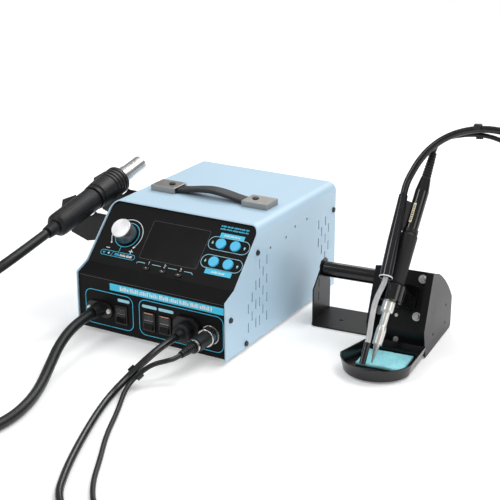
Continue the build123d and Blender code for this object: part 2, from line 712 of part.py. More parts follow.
# Fume extraction along the iron's left side, from in front of it at the bottom to beside it at the top.
SLEEVE_LOW, SLEEVE_HIGH = Vector(-5.9, -16.3, 85), Vector(-15.6, -7.7, 175)
SLEEVE_LONG = (SLEEVE_HIGH - SLEEVE_LOW).length
SLEEVE = Plane(SLEEVE_LOW, z_dir=SLEEVE_HIGH - SLEEVE_LOW).location
TUBE_R = 2.8

sleeve_solid = turned([(TUBE_R + 0.1, 0), (6.6, 0), (6.6, 1.5), (6.3, 40), (4.7, SLEEVE_LONG), (0, SLEEVE_LONG),
                       (0, SLEEVE_LONG - 4), (TUBE_R + 0.1, SLEEVE_LONG - 8)], IRON * SLEEVE, "fume_sleeve")

CLIP_FROM, BAND_HIGH, RIB_HIGH = 139.2, 4, 31

with BuildPart() as fume_clip:
    # A low band round the handle above the grip, and a long rib from it to the sleeve.
    with Locations((0, 0, CLIP_FROM)):
        Cylinder(HANDLE_R + 0.9, BAND_HIGH, align=(Align.CENTER, Align.CENTER, Align.MIN))
    middle = SLEEVE_LOW + (SLEEVE_HIGH - SLEEVE_LOW) * ((CLIP_FROM + RIB_HIGH / 2 - SLEEVE_LOW.Z) / 90)
    rib_turn = degrees(atan2(middle.Y, middle.X))
    with Locations(Location((middle.X * 0.55, middle.Y * 0.55, CLIP_FROM), (0, 0, rib_turn))):
        Box(12, 3.4, RIB_HIGH, align=(Align.CENTER, Align.CENTER, Align.MIN))
    with Locations((0, 0, CLIP_FROM - 1)):
        Cylinder(HANDLE_R, RIB_HIGH + 2, align=(Align.CENTER, Align.CENTER, Align.MIN), mode=Mode.SUBTRACT)
    add(SLEEVE * sleeve_solid, mode=Mode.SUBTRACT)
save(fume_clip, "fume_clip", IRON)

tube_route = [SLEEVE_LOW + (SLEEVE_HIGH - SLEEVE_LOW) * 0.25, SLEEVE_LOW - (SLEEVE_HIGH - SLEEVE_LOW) * 0.05,
              (-11, -12, 60), (-9, -12, 40), (-7.5, -9, 24), (-7, -9, 12)]

with BuildPart() as suction_tube:
    with BuildLine() as bent:
        FilletPolyline(*tube_route, radius=[30, 40, 40, 40])
    with BuildSketch(Plane(tube_route[0], z_dir=SLEEVE_LOW - SLEEVE_HIGH)):
        Circle(TUBE_R)
        Circle(TUBE_R - 0.7, mode=Mode.SUBTRACT)
    sweep(path=bent.wires()[0])
save(suction_tube, "suction_tube", IRON)

nozzle_dir = (Vector(*tube_route[-1]) - Vector(*tube_route[-2])).normalized()
with BuildPart() as suction_nozzle:
    with BuildSketch(Plane(tube_route[-1], z_dir=nozzle_dir)):
        Circle(3.3)
        Circle(2.1, mode=Mode.SUBTRACT)
    extrude(amount=17)
    with BuildSketch(Plane(tube_route[-1], z_dir=nozzle_dir)):
        Circle(3.3)
        Circle(TUBE_R, mode=Mode.SUBTRACT)
    extrude(amount=-5)
save(suction_nozzle, "suction_nozzle", IRON)

# The holder: a cup round the iron's front with a notch for the suction tube, and the arm that carries
# it from a flange screwed to the stand's sloping face. It is drawn in the stand's frame.
CUP_FROM, CUP_TO, CUP_R = 66, 82.5, 12.4
FLANGE_AT, FLANGE = (-32, 32), (30, 26)
NOTCH_TURN = 237

with BuildPart() as holder_cup:
    with BuildSketch(STAND_FACE.offset(GAP)):
        with Locations(FLANGE_AT):
            RectangleRounded(*FLANGE, 5)
    extrude(amount=4)
    with BuildSketch(IRON_PLANE.offset(CUP_FROM + 1)):
        with Locations((7, 20)):
            Rectangle(12, 36)
    extrude(amount=CUP_TO - CUP_FROM - 2)
    split(bisect_by=STAND_FACE.offset(GAP), keep=Keep.TOP)
    with BuildSketch(IRON_PLANE.offset(CUP_FROM)):
        Circle(CUP_R)
    extrude(amount=CUP_TO - CUP_FROM)
    with BuildSketch(IRON_PLANE.offset(CUP_FROM - 30)):
        Circle(7.7)
    extrude(amount=60, mode=Mode.SUBTRACT)
    with BuildSketch(IRON_PLANE.offset(CUP_FROM + 6)):
        Circle(9.4)
    extrude(amount=30, mode=Mode.SUBTRACT)
    with BuildSketch(IRON_PLANE.offset(CUP_FROM - 30)):
        with Locations(Location((0, 0, 0), (0, 0, NOTCH_TURN))):
            with Locations((15, 0)):
                Rectangle(30, 14)
    extrude(amount=60, mode=Mode.SUBTRACT)
save(holder_cup, "holder_cup", STAND)

# Solder reel bracket: a base strip along the bench and an upright at its left end.
STRIP_FROM, STRIP_TO = -141, -STAND_W - GAP
STRIP_Y, STRIP_DEEP = 56.5, 57
STRIP_HOLE = (-113, 52)    # in front of the roller, so that a screwdriver reaches it
REEL_AT = (64, 55)
REEL_R, REEL_PIN = 8.5, 4

with BuildPart() as reel_bracket:
    with BuildSketch(Plane.XY) as strip:
        with Locations(((STRIP_FROM + STRIP_TO) / 2, STRIP_Y)):
            Rectangle(STRIP_TO - STRIP_FROM, STRIP_DEEP)
        fillet(strip.vertices().group_by(Axis.X)[0].sort_by(Axis.Y)[0], 6)
        with Locations(STRIP_HOLE):
            Circle(2, mode=Mode.SUBTRACT)
    extrude(amount=PLATE)
    with BuildSketch(Plane.YZ.offset(STRIP_FROM)):
        with BuildLine():
            Polyline((34, 0), (34, 40), (54, 57), (54, 62), (58, 66), (70, 66), (74, 62), (74, 52), (84, 34),
                     (84, 0), close=True)
        make_face()
        with Locations((49, 28), (49, 44)):
            SlotOverall(11, 1.6, rotation=90, mode=Mode.SUBTRACT)
        with Locations(REEL_AT):
            Circle(REEL_PIN + 0.05, mode=Mode.SUBTRACT)
    extrude(amount=PLATE)
    # The strip's other end turns up against the stand's left plate.
    with BuildSketch(Plane.YZ.offset(STRIP_TO - PLATE)):
        with Locations((STRIP_Y, 9)):
            Rectangle(STRIP_DEEP - 8, 18)
        with Locations((68.1, 13.6)):
            Circle(1.6, mode=Mode.SUBTRACT)
    extrude(amount=PLATE)
save(reel_bracket, "reel_bracket", STAND)

with BuildPart() as reel_roller:
    with BuildSketch(Plane.YZ.offset(STRIP_FROM + PLATE + GAP)):
        with Locations(REEL_AT):
            Circle(REEL_R)
    extrude(amount=-STAND_W - STRIP_FROM - PLATE - 2 * GAP)
    chamfer(reel_roller.edges().filter_by(GeomType.CIRCLE), 0.8)
    with BuildSketch(Plane.YZ.offset(STRIP_FROM - 1)):
        with Locations(REEL_AT):
            Circle(REEL_PIN)
    extrude(amount=-STAND_W - STRIP_FROM + 1 + PLATE + 1)
save(reel_roller, "reel_roller", STAND)

# Sponge tray: straight back and sides, and a bowed front.
TRAY_X, TRAY_HALF, TRAY_BACK, TRAY_SIDE, TRAY_BOW = -36.5, 38, -5, -52, -84
TRAY_HIGH, TRAY_WALL, TRAY_LIFT = 15, 1.4, 2


def tray_outline(inset):
    """The tray's plan, that far inside its rim."""
    half, back, bow = TRAY_HALF - inset, TRAY_BACK - inset, TRAY_BOW + inset
    left, right = (TRAY_X - half, TRAY_SIDE), (TRAY_X + half, TRAY_SIDE)
    with BuildLine(mode=Mode.PRIVATE) as edge:
        Polyline(left, (TRAY_X - half + 14, back), (TRAY_X + half, back), right)
        ThreePointArc(right, (TRAY_X + 4, bow), left)
    make_face(edge.edges())


with BuildPart() as tray:
    with BuildSketch(Plane.XY.offset(TRAY_LIFT)):
        tray_outline(3)
    with BuildSketch(Plane.XY.offset(TRAY_HIGH)):
        tray_outline(0)
    loft()
    with BuildSketch(Plane.XY.offset(TRAY_LIFT + TRAY_WALL)):
        tray_outline(3 + TRAY_WALL)
    with BuildSketch(Plane.XY.offset(TRAY_HIGH + 0.01)):
        tray_outline(TRAY_WALL)
    loft(mode=Mode.SUBTRACT)
save(tray, "tray", STAND)

SPONGE = (50, 38, 4.5)
SPONGE_AT = (-33, -34)

with BuildPart() as sponge:
    with BuildSketch(Plane.XY.offset(TRAY_LIFT + TRAY_WALL)):
        with Locations(SPONGE_AT):
            RectangleRounded(SPONGE[0], SPONGE[1], 3)
    extrude(amount=SPONGE[2])
save(sponge, "sponge", STAND)

# Rubber feet: four under the unit, and four small ones under the stand and its tray.
UNIT_FEET = [(x, y) for x in (-74, 74) for y in (22, 228)]
with BuildPart() as feet:
    for x, y in UNIT_FEET:
        with Locations((x, y, 0)):
            Cylinder(8, FOOT, align=(Align.CENTER, Align.CENTER, Align.MIN))
    for x, y in ((-62, -44), (-10, -44)):
        with Locations(UNIT.inverse() * STAND * Location((x, y, 0))):
            Cylinder(4, TRAY_LIFT, align=(Align.CENTER, Align.CENTER, Align.MIN))
save(feet, "feet")


def pan_head(plane, centres, shank, head_r, head_high, long):
    """Screws with domed heads on a plane, at (x, y) centres."""
    for part_r, high, slant in ((head_r, head_high, 18), (shank, -long, 0)):
        with BuildSketch(plane, mode=Mode.PRIVATE) as discs:
            with Locations(*centres):
                Circle(part_r)
        extrude(discs.sketch, amount=high, taper=slant)


with BuildPart() as stand_screws:
    with BuildSketch(STAND_FACE) as washers:
        with Locations(*FACE_SCREWS):
            Circle(4.6)
    extrude(amount=0.8)
    pan_head(STAND_FACE.offset(0.8), FACE_SCREWS, 1.5, 3.1, 1.8, 6)
    pan_head(STAND_FACE, [SMALL_SCREW], 1.2, 2.2, 1.4, 5)
    pan_head(TOE_FACE, [TOE_SCREW], 1.5, 3.1, 1.8, 5)

CRADLE_FACE = LEFT.offset(GAP + CRADLE)

with BuildPart() as screws:
    pan_head(RIGHT, COVER_SCREWS, 1.5, 3.2, 1.8, 6)
    pan_head(LEFT, [(-y, z) for y, z in COVER_SCREWS], 1.5, 3.2, 1.8, 6)
    pan_head(CRADLE_FACE, [(-y, z) for y, z in CRADLE_SCREWS], 1.5, 3.2, 1.8, 6)
    pan_head(LOWER.offset(2.5), [(GLAND_AT[0] + d, GLAND_AT[1]) for d in (-GLAND_SCREWS, GLAND_SCREWS)], 1.5,
             2.9, 1.6, 8)
    pan_head(Plane.XY.offset(HEIGHT + CAP[2]), [(d, HANDLE_Y) for d in (-HANDLE_SCREW_X, HANDLE_SCREW_X)], 2,
             3.9, 1.2, 16)
    add(UNIT.inverse() * STAND * stand_screws.part)
save(screws, "screws")

# ---------------------------------------------------------------- hoses and cables

# Each route is a hand-placed list of points in the station's frame. Those of the iron's cable and of
# the suction hose come in two lengths: one on the bench, and a lead that the iron carries.
GUN_HOSE = [
    (-114.6, -132.6, 30), (-114.6, -160.6, 28.6), (-109, -195.6, 20.5), (-97, -228.6, 10.5),
    (-83, -260.6, 5.6), (-71, -292.6, 5.6), (-65, -326.6, 5.6), (-70, -362.6, 5.6), (-88, -408.6, 5.6),
    (-126, -452.6, 5.6), (-182, -478.6, 5.6), (-242, -468.6, 5.6), (-288, -430.6, 5.6),
    (-304, -376.6, 6), (-290, -326.6, 10), (-260, -288.6, 24), (-228, -256.6, 48), (-202, -220.6, 72),
    (-189, -182.6, 87), (-185, -146.6, 96.3), (-185, -113, 102.7),
]
IRON_CABLE = [
    (25, -173.6, 30), (25, -182.6, 30), (20.4, -191.1, 29.7), (12.6, -196.1, 27.6),
    (4.6, -197.6, 23.2), (-2.4, -198.6, 17.4), (-8, -203.6, 11.6), (-10, -213.6, 6.8),
    (-7, -226.6, 3.6), (0, -241.6, 2.6), (11, -264.6, 2.6), (28, -304.6, 2.6), (48, -340.6, 2.6),
    (68, -379.6, 2.6), (92, -409.6, 2.6), (130, -418.6, 2.6), (176, -403.6, 2.6), (227, -378.6, 2.6),
    (278, -347.6, 2.6), (327, -312.6, 2.6), (369, -273.6, 2.6), (395, -226.6, 2.6), (402, -176.6, 2.6),
    (394, -126.6, 2.6), (380, -80.6, 4.5), (367, -40.6, 19), (355, -9.6, 48), (343, 15.4, 84),
    (330, 37.4, 122),
]
IRON_CABLE_LEAD = [
    (329.9, 37.5, 122.3), (319.3, 55.5, 153.3), (304, 69, 182), (285, 77, 202), (265, 82, 214.5),
    (248, 84, 220), (232, 84.2, 222), (217, 83.4, 220.8), (205.6, 82, 218.3), (195.5, 79.5, 215.6),
    (188.2, 76, 211.5), (184.9, 72.1, 205.7), (184.8, 68.1, 200),
]
FUME_HOSE = [
    (-3.5, -139.6, 29.5), (-3.5, -157.6, 29.5), (-6.3, -176.6, 25.5), (-12, -194.6, 16.8),
    (-17, -211.6, 7.8), (-15.6, -234.6, 3.9), (-7.5, -263.6, 3.9), (3.5, -295.1, 3.9),
    (18, -332.6, 3.9), (36, -374.6, 3.9), (58, -415.6, 3.9), (97, -439.6, 3.9), (144, -435.6, 3.9),
    (194, -413.6, 3.9), (246, -384.6, 3.9), (298, -351.1, 3.9), (348, -312.6, 3.9), (390, -268.6, 3.9),
    (415, -216.6, 3.9), (418, -160.6, 3.9), (407, -108.6, 3.9), (392, -65.6, 8), (378, -27.6, 27),
    (365, 3.4, 59), (352, 28.4, 97), (339, 49.4, 134),
]
FUME_HOSE_LEAD = [
    (338.9, 49.5, 134.3), (327.5, 68, 166.7), (312, 78.5, 193), (293, 83, 212), (273.5, 84, 223.5),
    (255.5, 82.5, 228.8), (238, 80, 230), (221.5, 77.5, 227.8), (207.5, 74, 223.4), (194, 68, 216.2),
    (183.5, 61.5, 206.5), (176, 54, 195.5), (171, 46.5, 183), (167.8, 38.4, 170.9), (169, 30.8, 161.8),
]


def cord(points, radius, label):
    """A round cord along the points, with arcs as large as their runs allow."""
    points = [Vector(*point) for point in points]
    runs = [b - a for a, b in zip(points, points[1:])]
    bends = []
    for before, after in zip(runs, runs[1:]):
        bends.append(0.45 * min(before.length, after.length) / tan(radians(before.get_angle(after) / 2)))
    with BuildPart() as tube:
        with BuildLine() as route:
            FilletPolyline(*points, radius=bends)
        with BuildSketch(Plane(points[0], z_dir=runs[0])):
            Circle(radius)
        sweep(path=route.wires()[0])
    length = route.wires()[0].length
    ratio = tube.part.volume / (pi * radius ** 2 * length)
    print(f"{label}: {length:.0f} mm, volume ratio {ratio:.4f}, radii {[round(bend) for bend in bends]}")
    save(tube, label, Location())


cord(GUN_HOSE, HOSE_R, "gun_hose")
cord(IRON_CABLE, CABLE_R, "iron_cable")
cord(IRON_CABLE_LEAD, CABLE_R, "iron_cable_lead")
cord(FUME_HOSE, FUME_R, "fume_hose")
cord(FUME_HOSE_LEAD, FUME_R, "fume_hose_lead")
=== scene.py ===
"""A soldering iron station: finishes, printing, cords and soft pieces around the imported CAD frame."""
import json
import math

import bmesh
import bpy
from mathutils import Euler, Matrix, Vector, noise


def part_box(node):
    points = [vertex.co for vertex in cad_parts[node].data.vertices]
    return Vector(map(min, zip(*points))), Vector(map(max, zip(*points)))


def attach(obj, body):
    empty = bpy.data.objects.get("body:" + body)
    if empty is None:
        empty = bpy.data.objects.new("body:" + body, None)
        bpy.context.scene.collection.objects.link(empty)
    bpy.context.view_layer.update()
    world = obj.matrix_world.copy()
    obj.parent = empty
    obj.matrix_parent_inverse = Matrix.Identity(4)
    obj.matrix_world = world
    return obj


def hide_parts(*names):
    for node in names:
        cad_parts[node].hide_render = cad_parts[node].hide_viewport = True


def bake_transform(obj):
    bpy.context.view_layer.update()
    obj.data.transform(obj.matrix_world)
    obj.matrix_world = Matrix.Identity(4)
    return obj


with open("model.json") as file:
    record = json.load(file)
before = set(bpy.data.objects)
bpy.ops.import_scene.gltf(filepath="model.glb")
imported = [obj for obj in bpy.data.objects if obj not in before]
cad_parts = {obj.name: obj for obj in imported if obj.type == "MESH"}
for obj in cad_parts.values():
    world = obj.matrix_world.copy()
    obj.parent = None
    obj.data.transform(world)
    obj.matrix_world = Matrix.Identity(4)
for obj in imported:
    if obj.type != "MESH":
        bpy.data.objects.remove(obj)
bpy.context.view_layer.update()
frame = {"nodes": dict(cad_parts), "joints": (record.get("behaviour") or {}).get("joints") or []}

MM = 0.001
JOINTS = {joint["name"]: joint for joint in frame["joints"]}
X, Y, Z = Vector((1, 0, 0)), Vector((0, 1, 0)), Vector((0, 0, 1))


# ---------------------------------------------------------------- camera

def make_camera():
    """The camera, high at the station's front right."""
    data = bpy.data.cameras.new("camera")
    data.lens, data.sensor_width = 89.8, 36
    data.clip_start, data.clip_end = 0.05, 20
    camera = bpy.data.objects.new("camera", data)
    camera.location = (0.6424, -1.1125, 0.5514)
    camera.rotation_euler = Euler((math.radians(90 - 20.12), 0, math.radians(29.84)))
    bpy.context.collection.objects.link(camera)
    bpy.context.scene.camera = camera


make_camera()


# ---------------------------------------------------------------- materials

def node_tree(name):
    """A new material's nodes, its links and its surface shader."""
    material = bpy.data.materials.new(name)
    material.use_nodes = True
    tree = material.node_tree
    return material, tree, tree.nodes["Principled BSDF"]


def colour_of(shade, factor):
    """A colour made lighter or darker by a factor."""
    return tuple(min(1.0, channel * factor) for channel in shade[:3]) + (1,)


def surface(name, shade, rough, metal=0.0, mottle=(35, 0.05), grain=(1500, 0.1), edge=None, stretch=None,
            round_edges=0.0003, **sockets):
    """A procedural finish: mottled colour, uneven roughness, fine grain in bump, and a painted highlight:
    paler edges.

    mottle is (scale, share of the colour), grain is (scale, bump strength), edge is (colour, amount) of the
    painted edge highlight, and stretch scales the grain's coordinates, for brushed and drawn metal.
    """
    material, tree, shader = node_tree(name)
    nodes, links = tree.nodes, tree.links
    coords = nodes.new("ShaderNodeTexCoord")
    spots = nodes.new("ShaderNodeTexNoise")
    spots.inputs["Scale"].default_value = mottle[0]
    spots.inputs["Detail"].default_value = 4
    links.new(coords.outputs["Object"], spots.inputs["Vector"])
    mix = nodes.new("ShaderNodeMix")
    mix.data_type = "RGBA"
    mix.inputs["A"].default_value = colour_of(shade, 1 - mottle[1])
    mix.inputs["B"].default_value = colour_of(shade, 1 + mottle[1])
    links.new(spots.outputs["Fac"], mix.inputs["Factor"])
    paint = mix.outputs["Result"]

    bevel = nodes.new("ShaderNodeBevel")
    bevel.samples = 4
    bevel.inputs["Radius"].default_value = round_edges
    # Painted highlight: where the bevelled normal turns away from the face's normal, the colour mixes towards
    # the paler edge colour.
    if edge:
        face = nodes.new("ShaderNodeNewGeometry")
        turn = nodes.new("ShaderNodeVectorMath")
        turn.operation = "DOT_PRODUCT"
        links.new(bevel.outputs["Normal"], turn.inputs[0])
        links.new(face.outputs["Normal"], turn.inputs[1])
        highlight_edges = nodes.new("ShaderNodeMapRange")
        highlight_edges.inputs["From Min"].default_value = 0.995
        highlight_edges.inputs["From Max"].default_value = 0.8
        highlight_edges.inputs["To Max"].default_value = edge[1]
        links.new(turn.outputs["Value"], highlight_edges.inputs["Value"])
        highlight_mix = nodes.new("ShaderNodeMix")
        highlight_mix.data_type = "RGBA"
        highlight_mix.inputs["B"].default_value = (*edge[0], 1)
        links.new(highlight_edges.outputs["Result"], highlight_mix.inputs["Factor"])
        links.new(paint, highlight_mix.inputs["A"])
        paint = highlight_mix.outputs["Result"]
    links.new(paint, shader.inputs["Base Color"])

    dull = nodes.new("ShaderNodeMapRange")
    dull.inputs["To Min"].default_value = max(0.02, rough - 0.06)
    dull.inputs["To Max"].default_value = rough + 0.08
    links.new(spots.outputs["Fac"], dull.inputs["Value"])
    links.new(dull.outputs["Result"], shader.inputs["Roughness"])

    fine = nodes.new("ShaderNodeTexNoise")
    fine.inputs["Scale"].default_value = grain[0]
    fine.inputs["Detail"].default_value = 3
    if stretch:
        mapping = nodes.new("ShaderNodeMapping")
        mapping.inputs["Scale"].default_value = stretch
        links.new(coords.outputs["Object"], mapping.inputs["Vector"])
        links.new(mapping.outputs["Vector"], fine.inputs["Vector"])
    else:
        links.new(coords.outputs["Object"], fine.inputs["Vector"])
    bump = nodes.new("ShaderNodeBump")
    bump.inputs["Strength"].default_value = grain[1]
    bump.inputs["Distance"].default_value = 0.0004
    links.new(fine.outputs["Fac"], bump.inputs["Height"])
    links.new(bevel.outputs["Normal"], bump.inputs["Normal"])
    links.new(bump.outputs["Normal"], shader.inputs["Normal"])

    shader.inputs["Metallic"].default_value = metal
    for socket, value in sockets.items():
        shader.inputs[socket.replace("_", " ")].default_value = value
    return material


def turned_metal(name, shade, rough, centre, axis, rings=2600, strength=0.25):
    """Metal with fine turning marks round an axis: rings on its faces, made of one-dimensional noise."""
    material = surface(name, shade, rough, metal=1.0, mottle=(120, 0.05), grain=(rings, strength))
    tree = material.node_tree
    fine = [node for node in tree.nodes if node.type == "TEX_NOISE"][1]
    coords = next(node for node in tree.nodes if node.type == "TEX_COORD")
    local = tree.nodes.new("ShaderNodeMapping")
    local.vector_type = "TEXTURE"
    local.inputs["Location"].default_value = centre
    local.inputs["Rotation"].default_value = axis.to_track_quat("Z", "Y").to_euler()
    flat = tree.nodes.new("ShaderNodeVectorMath")
    flat.operation = "MULTIPLY"
    flat.inputs[1].default_value = (1, 1, 0)
    length = tree.nodes.new("ShaderNodeVectorMath")
    length.operation = "LENGTH"
    tree.links.new(coords.outputs["Object"], local.inputs["Vector"])
    tree.links.new(local.outputs["Vector"], flat.inputs[0])
    tree.links.new(flat.outputs["Vector"], length.inputs[0])
    fine.noise_dimensions = "1D"
    tree.links.new(length.outputs["Value"], fine.inputs["W"])
    return material


# The paler colour of the painted highlight along the edges of black parts.
EDGE_HIGHLIGHT_ON_BLACK = (0.06, 0.06, 0.065)
KNOB_PLACE, KNOB_AXIS = Vector(JOINTS["knob_turn"]["pos_m"]), Vector(JOINTS["knob_turn"]["axis"])

# Every edge= below paints a highlight along the part's edges: (paler colour, amount).
SKY = surface("sky_paint", (0.47, 0.65, 0.79), 0.42, mottle=(14, 0.02), grain=(1700, 0.16),
              edge=((0.66, 0.82, 0.92), 0.5), round_edges=0.0006, Coat_Weight=0.15, Coat_Roughness=0.3)
STAND_PAINT = surface("stand_paint", (0.006, 0.006, 0.007), 0.36, mottle=(25, 0.25), grain=(1600, 0.14),
                      edge=(EDGE_HIGHLIGHT_ON_BLACK, 0.7), Specular_IOR_Level=0.25)
PANEL_FILM = surface("panel_film", (0.006, 0.006, 0.0065), 0.45, mottle=(18, 0.15), grain=(2600, 0.08),
                     edge=(EDGE_HIGHLIGHT_ON_BLACK, 0.5), Specular_IOR_Level=0.1)
WINDOW_GLASS = surface("window_glass", (0.004, 0.004, 0.005), 0.12, mottle=(12, 0.3), grain=(300, 0.01),
                       Specular_IOR_Level=0.25)
ZINC = surface("zinc_steel", (0.60, 0.61, 0.63), 0.38, metal=1.0, mottle=(90, 0.12), grain=(700, 0.1))
BLACK_PLASTIC = surface("black_plastic", (0.008, 0.008, 0.009), 0.38, mottle=(60, 0.2), grain=(2400, 0.3),
                        edge=(EDGE_HIGHLIGHT_ON_BLACK, 0.35), Specular_IOR_Level=0.4)
GRIP_PLASTIC = surface("grip_plastic", (0.006, 0.006, 0.007), 0.42, mottle=(70, 0.25), grain=(1500, 0.75),
                       edge=(EDGE_HIGHLIGHT_ON_BLACK, 0.3), Specular_IOR_Level=0.35)
GLOSS_BLACK = surface("gloss_black", (0.005, 0.005, 0.006), 0.12, mottle=(50, 0.2), grain=(500, 0.03),
                      edge=(EDGE_HIGHLIGHT_ON_BLACK, 0.4))
SMOKED = surface("smoked_sleeve", (0.006, 0.006, 0.009), 0.14, mottle=(45, 0.25), grain=(600, 0.05),
                 edge=(EDGE_HIGHLIGHT_ON_BLACK, 0.5))
RUBBER = surface("black_rubber", (0.010, 0.010, 0.011), 0.5, mottle=(80, 0.25), grain=(1900, 0.35),
                 Specular_IOR_Level=0.35)
HOSE_RUBBER = surface("hose_rubber", (0.007, 0.007, 0.007), 0.38, mottle=(40, 0.3), grain=(900, 0.35),
                      Specular_IOR_Level=0.4)
HOSE_SILICONE = surface("hose_silicone", (0.007, 0.007, 0.008), 0.24, mottle=(40, 0.3), grain=(900, 0.12))
CABLE = surface("cable_silicone", (0.007, 0.007, 0.008), 0.34, mottle=(60, 0.3), grain=(1200, 0.2),
                Specular_IOR_Level=0.4)
CAP_STEEL = surface("cap_steel", (0.36, 0.34, 0.32), 0.36, metal=1.0, mottle=(60, 0.08), grain=(900, 0.3),
                    stretch=(0.08, 1, 1), edge=((0.85, 0.85, 0.85), 0.5))
NICKEL = surface("nickel", (0.62, 0.61, 0.59), 0.24, metal=1.0, mottle=(150, 0.1), grain=(800, 0.08))
KNOB_FACE = turned_metal("knob_aluminium", (0.62, 0.62, 0.63), 0.34, KNOB_PLACE, KNOB_AXIS)
STEEL = surface("nozzle_steel", (0.66, 0.65, 0.63), 0.24, metal=1.0, mottle=(70, 0.16), grain=(1100, 0.15))
PALE_METAL = surface("pale_metal", (0.80, 0.79, 0.75), 0.3, metal=0.85, mottle=(180, 0.12), grain=(900, 0.12))
TIP_PLATING = surface("tip_plating", (0.62, 0.60, 0.57), 0.34, metal=1.0, mottle=(260, 0.25),
                      grain=(1500, 0.25))
SCREW_BLACK = surface("black_screw", (0.03, 0.03, 0.032), 0.35, metal=0.7, mottle=(300, 0.3),
                      grain=(900, 0.1), edge=((0.35, 0.35, 0.36), 0.6))
CERAMIC = surface("heater_ceramic", (0.80, 0.77, 0.70), 0.6, mottle=(200, 0.08), grain=(1200, 0.2))
BOARD_GREEN = surface("circuit_board", (0.01, 0.10, 0.045), 0.35, mottle=(300, 0.3), grain=(500, 0.2))
CORE = surface("core_steel", (0.09, 0.09, 0.10), 0.5, metal=0.6, mottle=(120, 0.3), grain=(900, 0.4),
               stretch=(6, 0.1, 0.1))
PUMP = surface("pump_plastic", (0.26, 0.27, 0.29), 0.5, mottle=(50, 0.1), grain=(1300, 0.25))
TRAY_PLASTIC = surface("tray_plastic", (0.005, 0.005, 0.006), 0.16, mottle=(40, 0.3), grain=(700, 0.08),
                       edge=(EDGE_HIGHLIGHT_ON_BLACK, 0.6))
BUTTON_BLUE = surface("button_blue", (0.07, 0.56, 0.90), 0.42, mottle=(200, 0.08), grain=(1600, 0.1),
                      edge=((0.55, 0.85, 0.97), 0.5))
CLEAR_TUBE = surface("clear_tube", (0.92, 0.92, 0.93), 0.16, mottle=(160, 0.15), grain=(900, 0.1),
                     Transmission_Weight=0.55, IOR=1.4)
PRINT_BLUE = surface("print_blue", (0.05, 0.60, 0.86), 0.45, mottle=(200, 0.06), grain=(2500, 0.05))
PRINT_PALE = surface("print_pale", (0.36, 0.72, 0.86), 0.45, mottle=(200, 0.06), grain=(2500, 0.05))
PRINT_WHITE = surface("print_white", (0.82, 0.84, 0.86), 0.45, mottle=(200, 0.04), grain=(2500, 0.05))
LAMP_TINT = surface("lamp_tint", (0.62, 0.33, 0.24), 0.35, mottle=(200, 0.1), grain=(900, 0.05))
LABEL_CREAM = surface("label_cream", (0.83, 0.76, 0.55), 0.4, mottle=(300, 0.06), grain=(2000, 0.08))
LABEL_INK = surface("label_ink", (0.10, 0.08, 0.05), 0.5, mottle=(300, 0.1), grain=(2000, 0.05))

STRAP_VINYL = surface("strap_vinyl", (0.013, 0.013, 0.016), 0.46, mottle=(90, 0.25), grain=(1300, 0.9),
                      edge=((0.16, 0.16, 0.18), 0.35))
STITCH = surface("strap_thread", (0.10, 0.10, 0.11), 0.6, mottle=(400, 0.2), grain=(3000, 0.4))
SPONGE_FOAM = surface("sponge_foam", (0.36, 0.84, 1.0), 0.75, mottle=(220, 0.16), grain=(900, 0.8),
                      round_edges=0.0001, Subsurface_Weight=0.15)
PRINT_GREY = surface("print_grey", (0.10, 0.10, 0.11), 0.4, mottle=(200, 0.1), grain=(2500, 0.05))
PRINT_MINT = surface("print_mint", (0.40, 0.80, 0.80), 0.45, mottle=(200, 0.06), grain=(2500, 0.05))
CLEAR_RIM = surface("clear_rim", (0.80, 0.82, 0.84), 0.2, mottle=(200, 0.05), grain=(900, 0.05))

FINISHES = {
    "cover": SKY, "chassis": ZINC, "front_panel": PANEL_FILM, "display_window": WINDOW_GLASS,
    "control_board": BOARD_GREEN, "airflow_knob": KNOB_FACE, "knob_shaft": ZINC, "handle_caps": CAP_STEEL,
    "mains_inlet": BLACK_PLASTIC, "transformer": CORE, "air_pumps": PUMP, "hose_gland": BLACK_PLASTIC,
    "fume_socket": BLACK_PLASTIC, "fume_plug": GRIP_PLASTIC, "iron_socket": NICKEL,
    "iron_plug": BLACK_PLASTIC, "plug_ring": NICKEL, "rocker_housings": BLACK_PLASTIC,
    "hot_air_rocker": GLOSS_BLACK, "iron_rocker": GLOSS_BLACK, "fume_rocker": GLOSS_BLACK,
    "gun_grip": GRIP_PLASTIC, "gun_collar": BLACK_PLASTIC, "gun_nozzle": STEEL, "gun_heater": CERAMIC,
    "gun_tail": RUBBER, "gun_cradle": STAND_PAINT, "stand_body": STAND_PAINT, "holder_cup": GLOSS_BLACK,
    "reel_bracket": STAND_PAINT, "reel_roller": GLOSS_BLACK, "tray": TRAY_PLASTIC, "feet": RUBBER,
    "screws": SCREW_BLACK, "soldering_tip": TIP_PLATING, "tip_barrel": PALE_METAL, "heater_element": CERAMIC,
    "iron_nut": PALE_METAL, "iron_handle": GLOSS_BLACK, "iron_grip": RUBBER, "iron_relief": RUBBER,
    "fume_sleeve": SMOKED, "fume_clip": BLACK_PLASTIC, "suction_tube": CLEAR_TUBE,
    "suction_nozzle": GLOSS_BLACK,
}
for name in frame["nodes"]:
    if name.startswith("temp_button"):
        FINISHES[name] = BUTTON_BLUE
    elif name.startswith("channel_button"):
        FINISHES[name] = GLOSS_BLACK


STAND_FROM_X = 0.1             # the stand's screws are to the right of this
GLAND_TO_Y = -0.112            # the hose gland's screws are in front of this


